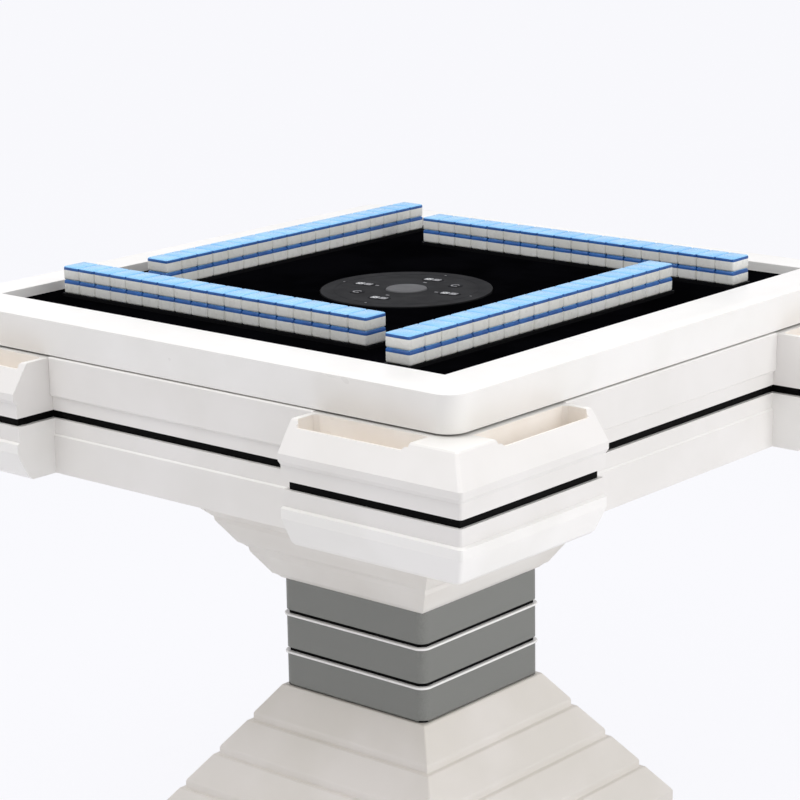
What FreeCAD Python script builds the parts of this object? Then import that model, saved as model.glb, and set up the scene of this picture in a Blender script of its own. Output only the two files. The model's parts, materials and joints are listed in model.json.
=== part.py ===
"""Self-shuffling mahjong table on a stepped pedestal, built as a parametric document.

Frame: +Z up, millimetres, origin on the floor under the middle of the table.
The playing surface has four lifts that raise the tile walls, a console that rises to take
the tiles in, and a shuffle drum under it. The casing carries eight open side pockets.
"""
import FreeCAD, Part
import math
import os
import Sketcher

V = FreeCAD.Vector
doc = FreeCAD.newDocument("mahjong_table")

# ---------------------------------------------------------------- driving sizes (mm)
SIZES = {
    # playing surface
    "tile_level": 775.0, "lift_proud": 3.6, "cloth_thick": 1.5, "board_thick": 12.0,
    "board_clearance": 0.3,
    # white top frame round the cloth
    "rim_width": 66.0, "rim_overhang": 7.5, "rim_foot_inset": 3.0,
    "rim_lip": 9.0, "rim_drop": 44.0, "rim_ledge": 16.0, "rim_corner": 26.0,
    "rim_edge_break": 3.5, "rim_seam": 1.5, "rim_skin": 5.0, "rim_room_gap": 2.0,
    # tiles and tile walls
    "tile_width": 30.0, "tile_length": 38.2, "tile_thick": 18.4, "tile_gap": 0.4,
    "wall_stacks": 18.0, "wall_outer_face": 300.5, "wall_end": 348.6,
    # lifts that carry the walls
    "lift_plate_thick": 10.0, "lift_margin": 1.4, "slot_clearance": 1.6,
    "lift_spine_thick": 6.0, "lift_spine_height": 18.0, "lift_bar_half": 6.0,
    "lift_bar_offset": 180.0, "lift_bar_length": 125.0, "lift_fit": 0.06,
    "lift_rack_back": 6.0, "lift_rack_depth": 12.0, "bushing_half": 10.0,
    "bushing_height": 66.0, "lift_base_half": 235.0, "lift_base_thick": 4.0,
    "gear_module": 2.0, "pinion_teeth": 16.0, "rack_teeth": 15.0, "gear_backlash": 0.35,
    "pinion_width": 10.0,
    "pinion_rise": 49.0, "lift_shaft_radius": 4.0, "motor_wall_thick": 3.0,
    "lift_motor_radius": 20.0, "lift_motor_length": 52.0,
    # console in the middle of the table
    "console_radius": 116.0, "console_gap": 1.8, "console_proud": 1.2, "console_depth": 22.0,
    "console_wall": 3.0, "console_face_thick": 2.4,
    "console_cap_radius": 28.0, "console_cap_rise": 1.2, "console_cap_slope": 1.2, "console_turn": 8.0,
    "stem_radius": 33.0, "stem_wall": 5.0, "stem_length": 125.0, "stem_fit": 0.05,
    "screw_radius": 7.0, "screw_length": 92.0, "nut_height": 15.0,
    "key_circle": 67.5, "dice_key_length": 31.0, "dice_key_width": 15.0, "lift_key_radius": 10.0,
    "key_proud": 0.4, "key_height": 6.0, "key_gap": 0.3, "key_travel": 1.0, "circuit_thick": 1.6,
    "key_flange": 1.6, "key_flange_spread": 1.6, "circuit_post_half": 4.0,
    "circuit_post_circle": 70.0, "circuit_half": 76.0,
    # shuffle drum
    "drum_radius": 246.0, "drum_wall": 4.0, "drum_top": 756.0, "drum_floor_thick": 4.0,
    "sleeve_wall": 8.0, "sleeve_top": 738.0, "hub_flange_half": 62.0, "hub_flange_thick": 5.0,
    "bearing_height": 8.0, "bearing_radius": 58.0, "running_gap": 0.3,
    "turntable_radius": 238.0, "turntable_thick": 4.0, "turntable_rise": 26.0,
    "turntable_hub_radius": 62.0, "skirt_radius": 164.0, "skirt_wall": 4.0, "skirt_height": 14.0,
    "paddle_thick": 8.0, "drive_wheel_radius": 20.0,
    "drive_wheel_height": 9.0, "drive_motor_radius": 32.0, "console_motor_radius": 31.0,
    # steel chassis
    "bar_size": 30.0, "bar_wall": 3.0, "chassis_inset": 4.0, "cross_offset": 55.0,
    "top_ring_inset": 18.0,
    # casing: upper and lower mouldings with a black band recessed between them
    "side_half": 440.0, "band_inset": 4.0, "side_step_drop": 95.5, "side_step_bevel": 2.5,
    "upper_foot_drop": 116.0, "lower_top_drop": 124.4, "core_inset": 11.0, "core_wall": 3.0,
    "core_lap": 14.0, "core_gap": 0.1, "lower_inset": 6.0, "lower_skirt_inset": 4.0,
    "lower_ledge_drop": 148.0, "lower_ledge_bevel": 2.0, "casing_foot_drop": 200.0,
    "casing_floor": 4.0, "casing_floor_hole": 125.0,
    "tray_end": 229.0, "tray_set_down": 1.2, "tray_reach": 61.5, "tray_top_inset": 24.0,
    "tray_band_inset": 4.5,
    "tray_top_round": 2.5, "tray_slope_drop": 83.0, "tray_edge_drop": 92.0,
    "tray_step_drop": 97.5, "tray_lower_inset": 7.0, "tray_skirt_inset": 3.0,
    "tray_skirt_drop": 162.0, "tray_belly_inset": 7.0, "tray_belly_drop": 171.0,
    "tray_foot_inset": 20.0, "tray_foot_slope_drop": 195.0,
    "tray_sole_inset": 26.5, "pocket_end_wall": 8.0, "pocket_length": 171.0,
    "pocket_inner_gap": 3.0, "pocket_outer_inset": 22.0, "pocket_depth": 40.0,
    "pocket_lip_drop": 8.5, "pocket_round": 9.0, "tray_floor": 4.0,
    # stepped neck under the casing
    "neck_fit": 0.6, "neck_collar": 13.4, "neck_collar_run": 13.8, "neck_shelf": 1.5, "neck_run": 30.0,
    "neck_drop": 39.0, "neck_lip": 7.3, "neck_tread": 1.3, "neck_cove_run": 9.0, "neck_cove_drop": 7.0,
    "neck_cove_radius": 22.0, "neck_skin": 4.0, "neck_tiers": 2.0,
    # shallow pyramid that closes the underside of the casing
    "soffit_drop": 296.0, "soffit_inlet_gap": 21.0, "soffit_edge": 4.0,
    "soffit_skin": 8.0,
    # grey column
    "column_half": 126.0, "column_wall": 4.0, "column_corner": 13.0,
    "ring_upper_shift": 1.3, "ring_lower_shift": 4.3, "ring_height": 3.4, "ring_proud": 3.0,
    "groove_height": 3.2, "groove_depth": 2.4,
    "foot_groove_height": 1.4,
    # stepped base
    "base_height": 217.0, "base_shoulder": 3.0, "base_first_run": 29.5, "base_first_drop": 40.5,
    "base_run": 28.5, "base_drop": 37.7, "base_lip": 10.5, "base_shelf": 6.0,
    "base_tiers": 4.0, "base_skin": 4.0,
    "base_clearance": 4.0, "base_plate_thick": 8.0, "base_plate_height": 8.0,
    "foot_radius": 24.0, "foot_inset": 45.0,
    # steel post
    "post_half": 45.0, "post_wall": 4.0, "flange_half": 110.0, "flange_thick": 8.0,
    "bolt_head_radius": 10.0, "bolt_head_height": 7.0, "bolt_inset": 22.0,
    # electrics
    "box_length": 130.0, "box_width": 110.0, "box_height": 27.0, "box_offset": 95.0,
    "inlet_body_length": 40.0,
    "inlet_body_width": 24.0, "inlet_height": 24.0, "inlet_flange": 2.5, "inlet_reach": 5.0,
    "inlet_x": -350.0, "inlet_inset": 53.5, "rocker_length": 22.0, "rocker_width": 14.0,
    "rocker_x": -295.0, "rocker_tilt": 8.0, "rocker_thick": 6.0, "rocker_pin_radius": 1.5,
}


class Size:
    """A length that knows its number and the spreadsheet expression that gives it."""

    def __init__(self, value, text):
        self.value = value
        self.text = text

    @staticmethod
    def of(thing):
        return thing if isinstance(thing, Size) else Size(float(thing), repr(float(thing)))

    def join(self, other, sign, value):
        return Size(value, "(" + self.text + " " + sign + " " + other.text + ")")

    def __add__(self, other):
        other = Size.of(other)
        return self.join(other, "+", self.value + other.value)

    def __radd__(self, other):
        return Size.of(other) + self

    def __sub__(self, other):
        other = Size.of(other)
        return self.join(other, "-", self.value - other.value)

    def __rsub__(self, other):
        return Size.of(other) - self

    def __mul__(self, other):
        other = Size.of(other)
        return self.join(other, "*", self.value * other.value)

    def __rmul__(self, other):
        return Size.of(other) * self

    def __truediv__(self, other):
        other = Size.of(other)
        return self.join(other, "/", self.value / other.value)

    def __neg__(self):
        return Size.of(0.0) - self


sheet = doc.addObject("Spreadsheet::Sheet", "Sizes")


class Sizes:
    """Every cell of the sheet by its alias: s.tile_level and so on."""


s = Sizes()
next_row = 1


def add_cell(alias, content, value):
    """One named cell, and the Size that refers to it."""
    global next_row
    sheet.set("A%d" % next_row, alias)
    sheet.set("B%d" % next_row, content)
    sheet.setAlias("B%d" % next_row, alias)
    next_row += 1
    setattr(s, alias, Size(value, "Sizes." + alias))


def derive(alias, amount):
    """A cell worked out from the driving sizes."""
    add_cell(alias, "=" + amount.text.replace("Sizes.", ""), amount.value)


for size_name, size_value in SIZES.items():
    add_cell(size_name, str(size_value), size_value)

# heights that several pieces share
derive("cloth_height", s.tile_level - s.lift_proud)
derive("board_top", s.cloth_height - s.cloth_thick)
derive("board_bottom", s.board_top - s.board_thick)
derive("rim_top", s.tile_level + s.rim_lip)
derive("rim_bottom", s.tile_level - s.rim_drop)
derive("upper_top", s.rim_bottom - s.rim_seam)
derive("tray_top", s.upper_top - s.tray_set_down)
derive("upper_foot", s.tile_level - s.upper_foot_drop)
derive("lower_top", s.tile_level - s.lower_top_drop)
derive("casing_foot", s.tile_level - s.casing_foot_drop)
derive("floor_top", s.casing_foot + s.casing_floor)
derive("bar_top", s.floor_top + s.bar_size)
derive("wall_length", s.tile_width * s.wall_stacks)
derive("band_half", s.side_half - s.band_inset)
derive("core_half", s.side_half - s.core_inset)
derive("lower_half", s.side_half - s.lower_inset)
derive("lower_skirt_half", s.side_half - s.lower_skirt_inset)
derive("chassis_half", s.core_half - s.chassis_inset)
derive("top_ring_half", s.core_half - s.top_ring_inset)
derive("rim_outer_half", s.side_half + s.rim_overhang)
derive("rim_inner_half", s.rim_outer_half - s.rim_width)
derive("rim_foot_half", s.side_half - s.rim_foot_inset)
derive("rim_room_half", s.top_ring_half + s.rim_room_gap)
derive("tray_wide_half", s.side_half + s.tray_reach)
for tray_level in ("top", "band", "lower", "skirt", "belly", "foot", "sole"):
    derive("tray_%s_half" % tray_level,
           s.tray_wide_half - getattr(s, "tray_%s_inset" % tray_level))
derive("pocket_inner_half", s.side_half + s.pocket_inner_gap)
derive("pocket_outer_half", s.tray_wide_half - s.pocket_outer_inset)
derive("inlet_y", s.tray_wide_half - s.inlet_inset)
derive("soffit_half", s.inlet_y - s.inlet_body_width / 2 - s.inlet_reach - s.soffit_inlet_gap)
derive("lift_x", s.wall_length / 2 - s.wall_end)
derive("lift_y", s.tile_length / 2 - s.wall_outer_face)
derive("lift_plate_half", s.wall_length / 2 + s.lift_margin)
derive("lift_plate_depth_half", s.tile_length / 2 + s.lift_margin)
derive("lift_base_top", s.bar_top + s.lift_base_thick)
derive("pitch_radius", s.gear_module * s.pinion_teeth / 2)
derive("pinion_level", s.lift_base_top + s.pinion_rise)
derive("base_top_half", s.column_half + s.base_shoulder)
derive("neck_foot_half", s.column_half + s.neck_fit)
derive("soffit_low_half", s.neck_foot_half + s.neck_collar_run
       + (s.neck_run + s.neck_shelf + s.neck_tread) * int(SIZES["neck_tiers"]))
derive("soffit_low", s.tile_level - s.soffit_drop)
derive("column_top", s.soffit_low - s.neck_collar
       - (s.neck_drop + s.neck_lip) * int(SIZES["neck_tiers"]))
derive("column_length", s.column_top - s.base_height)
# the two rings part the column in three, each set a little low
derive("ring_upper_low", s.base_height + s.column_length * 2 / 3 - s.ring_upper_shift)
derive("ring_lower_low", s.base_height + s.column_length / 3 - s.ring_lower_shift)
derive("base_plate_top", s.base_plate_height + s.base_plate_thick)
derive("console_top", s.cloth_height + s.console_proud)
derive("console_face_low", s.console_top - s.console_face_thick)
derive("console_bottom", s.console_top - s.console_depth)
derive("stem_outer", s.stem_radius - s.stem_fit)
derive("stem_low", s.console_bottom - s.stem_length)
derive("drum_floor_top", s.bar_top + s.drum_floor_thick)
derive("hub_flange_top", s.drum_floor_top + s.hub_flange_thick)
derive("bearing_top", s.hub_flange_top + s.bearing_height)
derive("turntable_low", s.bearing_top + s.running_gap)
derive("skirt_low", s.turntable_low - s.skirt_height + s.turntable_thick)
doc.recompute()

FULL = 1400.0  # longer than the table is wide: for cuts that run right through


# ---------------------------------------------------------------- small builders
def bind(obj, **sizes):
    """Ties properties to the sheet: bind(box, Length=s.tile_width)."""
    for prop, amount in sizes.items():
        amount = Size.of(amount)
        obj.setExpression(prop, amount.text)
    return obj


def place(obj, x=0.0, y=0.0, z=0.0):
    """Ties an object's place to the sheet."""
    for axis, amount in (("x", x), ("y", y), ("z", z)):
        obj.setExpression("Placement.Base." + axis, Size.of(amount).text)
    return obj


def turn(obj, axis, degrees):
    """Turns an object about an axis through its own origin."""
    obj.Placement = FreeCAD.Placement(obj.Placement.Base, FreeCAD.Rotation(axis, degrees))
    return obj


def box(name, x0, x1, y0, y1, z0, z1):
    """A block between two corners."""
    block = doc.addObject("Part::Box", name)
    x0, x1, y0, y1, z0, z1 = [Size.of(v) for v in (x0, x1, y0, y1, z0, z1)]
    bind(block, Length=x1 - x0, Width=y1 - y0, Height=z1 - z0)
    return place(block, x0, y0, z0)


def slab(name, half, z0, z1):
    """A square block centred on the Z axis."""
    return box(name, -half, half, -half, half, z0, z1)


def rod(name, radius, z0, z1, x=0.0, y=0.0):
    """An upright cylinder."""
    cylinder = doc.addObject("Part::Cylinder", name)
    bind(cylinder, Radius=radius, Height=Size.of(z1) - z0)
    return place(cylinder, x, y, z0)


def square_bar(name, half, z0, z1, x, y):
    """An upright square bar, its sides along X and Y."""
    return box(name, Size.of(x) - half, Size.of(x) + half, Size.of(y) - half,
               Size.of(y) + half, z0, z1)


def prism(name, sides, inner_radius, z0, z1, x=0.0, y=0.0):
    """An upright regular prism, by the radius that fits inside its flats."""
    block = doc.addObject("Part::Prism", name)
    block.Polygon = sides
    bind(block, Circumradius=Size.of(inner_radius) / math.cos(math.pi / sides),
         Height=Size.of(z1) - z0)
    return place(block, x, y, z0)


def prism_along_y(name, sides, inner_radius, y0, y1, x, z):
    """A regular prism lying along +Y."""
    block = prism(name, sides, inner_radius, 0.0, Size.of(y1) - y0)
    turn(block, V(1, 0, 0), -90)
    return place(block, x, y0, z)


def rod_along_y(name, radius, y0, y1, x, z):
    """A cylinder lying along +Y."""
    cylinder = doc.addObject("Part::Cylinder", name)
    bind(cylinder, Radius=radius, Height=Size.of(y1) - y0)
    turn(cylinder, V(1, 0, 0), -90)
    return place(cylinder, x, y0, z)


def frustum(name, low_half, high_half, z0, z1):
    """A square block whose sides lean: half-width low_half at z0 and high_half at z1."""
    wedge = doc.addObject("Part::Wedge", name)
    z0 = Size.of(z0)
    bind(wedge, Xmin=-low_half, Xmax=low_half, Zmin=-low_half, Zmax=low_half)
    bind(wedge, X2min=-high_half, X2max=high_half, Z2min=-high_half, Z2max=high_half)
    bind(wedge, Ymin=0.0, Ymax=Size.of(z1) - z0)
    turn(wedge, V(1, 0, 0), 90)
    return place(wedge, 0.0, 0.0, z0)


def sixteen_sided(name, low_radius, high_radius, z0, z1):
    """A sixteen-sided pyramid's lower part, by the radii of its corners."""
    inner = math.cos(math.pi / 16)
    squares = []
    for i in range(4):
        square = frustum("%s_%d" % (name, i), low_radius * inner, high_radius * inner, z0, z1)
        holder = group("%s_holder_%d" % (name, i), square)
        squares.append(turn(holder, V(0, 0, 1), 22.5 * i))
    return common(name, *squares)


def cut(name, base, *tools):
    """base with the tools taken away."""
    tool = tools[0] if len(tools) == 1 else fuse(name + "_tools", *tools)
    result = doc.addObject("Part::Cut", name)
    result.Base = base
    result.Tool = tool
    return result


def fuse(name, *pieces):
    result = doc.addObject("Part::MultiFuse", name)
    result.Shapes = list(pieces)
    return result


def common(name, *pieces):
    result = doc.addObject("Part::MultiCommon", name)
    result.Shapes = list(pieces)
    return result


def group(name, *pieces):
    """Separate solids kept in one node."""
    result = doc.addObject("Part::Compound", name)
    result.Links = list(pieces)
    return result


def turned_copy(name, source, quarter):
    """The same piece turned about the table's middle by quarter turns."""
    copy = doc.addObject("Part::Compound", name)
    copy.Links = [source]
    return turn(copy, V(0, 0, 1), 90 * quarter)


def is_upright(edge):
    """True for a straight edge that runs mainly up and down."""
    first, last = edge.Vertexes[0].Point, edge.Vertexes[-1].Point
    rise = abs(last.z - first.z)
    return edge.Length > 1e-6 and rise > 0.7 * edge.Length


def round_edges(name, base, radius, chosen):
    """Rounds the edges of base that chosen(edge) picks."""
    doc.recompute()
    result = doc.addObject("Part::Fillet", name)
    result.Base = base
    value = Size.of(radius).value
    picked = [i + 1 for i, edge in enumerate(base.Shape.Edges) if chosen(edge)]
    if not picked:
        raise ValueError(name + ": no edge to round")
    result.Edges = [(index, value, value) for index in picked]
    return result


def break_edges(name, base, size, chosen):
    """Chamfers the edges of base that chosen(edge) picks."""
    doc.recompute()
    result = doc.addObject("Part::Chamfer", name)
    result.Base = base
    value = Size.of(size).value
    picked = [i + 1 for i, edge in enumerate(base.Shape.Edges) if chosen(edge)]
    if not picked:
        raise ValueError(name + ": no edge to chamfer")
    result.Edges = [(index, value, value) for index in picked]
    return result


# ---------------------------------------------------------------- square stepped forms
def outline_sketch(name, path):
    """A closed outline in the XZ plane, the same on both sides of the Z axis.

    path lists (half_width, height) from the bottom up; a third entry makes the stretch
    up to that point an arc of that radius that bellies towards the axis.
    """
    sketch = doc.addObject("Sketcher::SketchObject", name)
    turn(sketch, V(1, 0, 0), 90)
    right = [(Size.of(p[0]), Size.of(p[1]), p[2] if len(p) > 2 else None) for p in path]
    corners = [(r, z) for r, z, arc in right] + [(-r, z) for r, z, arc in reversed(right)]
    count = len(right)
    arcs = {i: arc for i, (r, z, arc) in enumerate(right) if arc is not None}
    geometry = []
    ends = []
    for i, (r, z) in enumerate(corners):
        r2, z2 = corners[(i + 1) % len(corners)]
        start, end = V(r.value, z.value, 0), V(r2.value, z2.value, 0)
        radius = arcs.get(i + 1) if i + 1 < count else arcs.get(2 * count - 1 - i)
        if radius is None:
            geometry.append(Part.LineSegment(start, end))
            ends.append((1, 2))
        else:
            middle = arc_middle(start, end, Size.of(radius).value)
            geometry.append(Part.Arc(start, middle, end))
            turns_left = (middle - start).cross(end - middle).z > 0
            ends.append((1, 2) if turns_left else (2, 1))
    sketch.addGeometry(geometry, False)
    for i, corner in enumerate(corners):
        before = (i - 1) % len(corners)
        first, last = ends[i][0], ends[before][1]
        sketch.addConstraint(Sketcher.Constraint("Coincident", before, last, i, first))
        pin(sketch, i, first, corner)
        radius = arcs.get(i + 1) if i + 1 < count else arcs.get(2 * count - 1 - i)
        if radius is not None:
            radius = Size.of(radius)
            number = sketch.addConstraint(Sketcher.Constraint("Radius", i, radius.value))
            sketch.setExpression("Constraints[%d]" % number, radius.text)
    return sketch


def arc_middle(start, end, radius):
    """The middle of the arc from start to end that bellies towards the Z axis."""
    chord = end - start
    middle = (start + end) * 0.5
    side = V(chord.y, -chord.x, 0)
    side.normalize()
    if side.x * middle.x > 0:
        side = side * -1
    sagitta = radius - math.sqrt(radius ** 2 - (chord.Length / 2) ** 2)
    return middle + side * sagitta


def pin(sketch, line, point, corner):
    """Ties one point of a sketch to the sheet."""
    for kind, amount in (("DistanceX", corner[0]), ("DistanceY", corner[1])):
        constraint = Sketcher.Constraint(kind, -1, 1, line, point, amount.value)
        number = sketch.addConstraint(constraint)
        sketch.setExpression("Constraints[%d]" % number, amount.text)


def pin_polygon(sketch, corners):
    """A closed polygon with every corner tied to the sheet."""
    corners = [(Size.of(a), Size.of(b)) for a, b in corners]
    points = [V(a.value, b.value, 0) for a, b in corners]
    lines = [Part.LineSegment(p, points[(i + 1) % len(points)]) for i, p in enumerate(points)]
    sketch.addGeometry(lines, False)
    for i, corner in enumerate(corners):
        before = (i - 1) % len(corners)
        sketch.addConstraint(Sketcher.Constraint("Coincident", before, 2, i, 1))
        pin(sketch, i, 1, corner)


def stepped(name, path):
    """A square solid with mitred corners whose sides all follow one outline."""
    sketch = outline_sketch(name + "_outline", path)
    bar = doc.addObject("Part::Extrusion", name + "_bar")
    bar.Base = sketch
    bar.DirMode = "Custom"
    bar.Dir = V(0, 1, 0)
    bar.LengthFwd = FULL
    bar.Symmetric = True
    bar.Solid = True
    crossed = doc.addObject("Part::Mirroring", name + "_crossed")
    crossed.Source = bar
    crossed.Normal = V(1, -1, 0)
    return common(name, bar, crossed)


nodes = []


def finish(name, obj):
    """Names the finished piece as a node of the assembly."""
    obj.Label = name
    nodes.append((name, obj))
    return obj


# ---------------------------------------------------------------- base and column
def base_path(skin):
    """Outline of the stepped base cover, drawn in and down by the skin."""
    height = s.base_height
    half = s.base_top_half
    run, drop = s.base_first_run, s.base_first_drop
    path = [(half - skin, height - skin)]
    for tier in range(int(SIZES["base_tiers"])):
        half = half + run
        height = height - drop
        path.append((half - skin, height - skin))
        height = height - s.base_lip
        if tier < int(SIZES["base_tiers"]) - 1:
            path.append((half - skin, height - skin))
            half = half + s.base_shelf
            path.append((half - skin, height - skin))
            run, drop = s.base_run, s.base_drop
    return path, half


def make_base():
    outer, foot_half = base_path(Size.of(0.0))
    inner, inner_half = base_path(s.base_skin)
    outer = outer + [(foot_half, s.base_clearance)]
    inner = inner + [(foot_half - s.base_skin, -s.base_clearance)]
    outside = stepped("base_outside", outer[::-1])
    inside = stepped("base_inside", inner[::-1])
    throat = slab("base_throat", s.post_half + 10.0, 0.0, s.tile_level)
    finish("base_cover", cut("base_cover_cut", outside, inside, throat))
    plate_half = foot_half - s.base_skin - s.core_gap
    plate = slab("plate_block", plate_half, s.base_plate_height, s.base_plate_top)
    finish("base_plate", plate)
    foot_at = plate_half - s.foot_inset
    pads = []
    for i, (sx, sy) in enumerate(((1, 1), (-1, 1), (-1, -1), (1, -1))):
        pads.append(prism("pad_%d" % i, 12, s.foot_radius, 0.0, s.base_plate_height,
                          foot_at * sx, foot_at * sy))
    finish("base_pads", group("pads", *pads))


def rounded_tube(name, half, wall, corner, z0, z1):
    """A square tube, rounded outside and chamfered inside."""
    outside = round_edges(name + "_round", slab(name + "_block", half, z0, z1), corner, is_upright)
    inside = break_edges(name + "_bore_edges",
                         slab(name + "_bore", half - wall, Size.of(z0) - 1.0, Size.of(z1) + 1.0),
                         Size.of(corner) - wall, is_upright)
    return cut(name, outside, inside)


def chamfered_tube(name, half, bore_half, corner, z0, z1):
    """A short square tube with chamfered corners: the set-back foot of a sleeve."""
    outside = break_edges(name + "_edges", slab(name + "_block", half, z0, z1),
                          corner * 0.6, is_upright)
    inside = break_edges(name + "_bore_edges",
                         slab(name + "_bore", bore_half, Size.of(z0) - 1.0, Size.of(z1) + 1.0),
                         corner - s.column_wall, is_upright)
    return cut(name, outside, inside)


def make_column():
    top = s.column_top
    ring_upper = s.ring_upper_low
    ring_lower = s.ring_lower_low
    seats = (("column_sleeve_upper", ring_upper + s.ring_height, s.groove_height, top),
             ("column_sleeve_middle", ring_lower + s.ring_height, s.groove_height, ring_upper),
             ("column_sleeve_lower", s.base_height, s.foot_groove_height, ring_lower))
    for name, low, groove, high in seats:
        tube = rounded_tube(name + "_tube", s.column_half, s.column_wall, s.column_corner,
                            low + groove, high)
        foot = chamfered_tube(name + "_foot", s.column_half - s.groove_depth,
                              s.column_half - s.column_wall, s.column_corner, low, low + groove)
        finish(name, fuse(name + "_sleeve", tube, foot))
    rings = [rounded_tube(name, s.column_half + s.ring_proud, s.ring_proud + s.column_wall,
                          s.column_corner + s.ring_proud, low, low + s.ring_height)
             for name, low in (("ring_upper", ring_upper), ("ring_lower", ring_lower))]
    finish("trim_rings", group("rings", *rings))


def make_post():
    top = s.floor_top
    tube = cut("post_tube", slab("post_block", s.post_half, s.base_plate_top, top),
               slab("post_bore", s.post_half - s.post_wall, 0.0, s.tile_level))
    foot = slab("post_foot", s.flange_half, s.base_plate_top, s.base_plate_top + s.flange_thick)
    head = slab("post_head", s.flange_half, top - s.flange_thick, top)
    bore = slab("post_cable_way", s.post_half - s.post_wall, 0.0, s.tile_level)
    finish("column_post", cut("post", fuse("post_weldment", tube, foot, head), bore))
    at = s.flange_half - s.bolt_inset
    bolts = []
    for i, (sx, sy) in enumerate(((1, 1), (-1, 1), (-1, -1), (1, -1))):
        low = s.base_plate_top + s.flange_thick
        bolts.append(prism("foot_bolt_%d" % i, 6, s.bolt_head_radius, low,
                           low + s.bolt_head_height, at * sx, at * sy))
        high = top - s.flange_thick
        bolts.append(prism("head_bolt_%d" % i, 6, s.bolt_head_radius,
                           high - s.bolt_head_height, high, at * sx, at * sy))
    finish("post_bolts", group("bolts", *bolts))


def neck_path(skin):
    """Outline of the stepped neck: coved tiers that widen upwards."""
    half = s.neck_foot_half - skin
    height = s.column_top + skin
    path = [(half, height)]
    for tier in range(int(SIZES["neck_tiers"])):
        path.append((half + s.neck_cove_run, height + s.neck_cove_drop, s.neck_cove_radius))
        half = half + s.neck_run
        height = height + s.neck_drop
        path.append((half, height))
        half = half + s.neck_shelf
        height = height + s.neck_lip
        path.append((half, height))
        half = half + s.neck_tread
        path.append((half, height))
    return path


def make_neck():
    foot = s.neck_foot_half - s.neck_skin
    top = s.soffit_low
    outside = stepped("neck_outside", neck_path(Size.of(0.0)) + [(s.soffit_low_half, top)])
    inner = [(foot, s.column_top - 1.0)] + neck_path(s.neck_skin)
    inner = inner + [(s.soffit_low_half - s.neck_skin, top + s.neck_skin)]
    finish("neck_cover", cut("neck", outside, stepped("neck_inside", inner)))
    outside = stepped("soffit_outside", [
        (s.soffit_low_half, top),
        (s.soffit_half, s.casing_foot - s.soffit_edge),
        (s.soffit_half, s.casing_foot)])
    inside = stepped("soffit_inside", [
        (s.soffit_low_half - s.soffit_skin, top - 1.0),
        (s.soffit_low_half - s.soffit_skin, top + 1.0),
        (s.soffit_half - s.soffit_skin, s.casing_foot),
        (s.soffit_half - s.soffit_skin, s.casing_foot + 1.0)])
    finish("soffit_cover", cut("soffit", outside, inside))


# ---------------------------------------------------------------- casing
def tray_corner(name, reach_low, z0, z1):
    """The four corner blocks that clip a square form to the trays."""
    blocks = []
    for i, (sx, sy) in enumerate(((1, 1), (-1, 1), (-1, -1), (1, -1))):
        x0, x1 = (reach_low, Size.of(FULL)) if sx > 0 else (Size.of(-FULL), -reach_low)
        y0, y1 = (reach_low, Size.of(FULL)) if sy > 0 else (Size.of(-FULL), -reach_low)
        blocks.append(box("%s_%d" % (name, i), x0, x1, y0, y1, z0, z1))
    return fuse(name, *blocks)


def make_lower_casing():
    z = s.tile_level
    main = stepped("lower_main", [
        (s.lower_skirt_half, s.casing_foot),
        (s.lower_skirt_half, z - s.lower_ledge_drop - s.lower_ledge_bevel),
        (s.lower_half, z - s.lower_ledge_drop),
        (s.lower_half, s.lower_top)])
    tray = stepped("lower_tray", [
        (s.tray_sole_half, s.casing_foot),
        (s.tray_foot_half, z - s.tray_foot_slope_drop),
        (s.tray_belly_half, z - s.tray_belly_drop),
        (s.tray_skirt_half, z - s.tray_skirt_drop),
        (s.tray_skirt_half, z - s.lower_ledge_drop - s.lower_ledge_bevel),
        (s.tray_lower_half, z - s.lower_ledge_drop),
        (s.tray_lower_half, s.lower_top)])
    corners = tray_corner("lower_corners", s.tray_end, 0.0, z)
    outside = fuse("lower_outside", main, common("lower_bulges", tray, corners))
    room = s.core_half + s.core_gap
    main_room = slab("lower_main_room", room, s.floor_top, z)
    tray_room = stepped("lower_tray_room", [
        (s.tray_sole_half - s.casing_floor * 2, s.floor_top),
        (s.tray_skirt_half - s.casing_floor * 3, z - s.tray_skirt_drop),
        (s.tray_band_half - s.band_half + room, z - s.lower_ledge_drop),
        (s.tray_band_half - s.band_half + room, z)])
    end = s.tray_end + s.band_half - room
    inner_corners = tray_corner("lower_inner_corners", end, 0.0, z)
    room_in_trays = common("lower_bulge_rooms", tray_room, inner_corners)
    hole = slab("lower_floor_hole", s.casing_floor_hole, 0.0, z)
    inlet = inlet_hole()
    finish("lower_casing", cut("lower", outside, main_room, room_in_trays, hole, inlet))


def make_core():
    """Black band that shows in the gap between the two mouldings."""
    low = s.lower_top - s.core_lap
    high = s.upper_foot + s.core_lap
    tray_half = s.tray_band_half - s.band_half + s.core_half
    end = s.tray_end + s.band_half - s.core_half
    outside = fuse("core_outside", slab("core_main", s.core_half, low, high),
                   common("core_bulges", slab("core_tray", tray_half, low, high),
                          tray_corner("core_corners", end, low, high)))
    inside = fuse("core_inside", slab("core_main_room", s.core_half - s.core_wall, 0.0, FULL),
                  common("core_rooms", slab("core_tray_room", tray_half - s.core_wall, 0.0, FULL),
                         tray_corner("core_room_corners", end + s.core_wall, 0.0, FULL)))
    finish("casing_core", cut("core", outside, inside))


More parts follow.
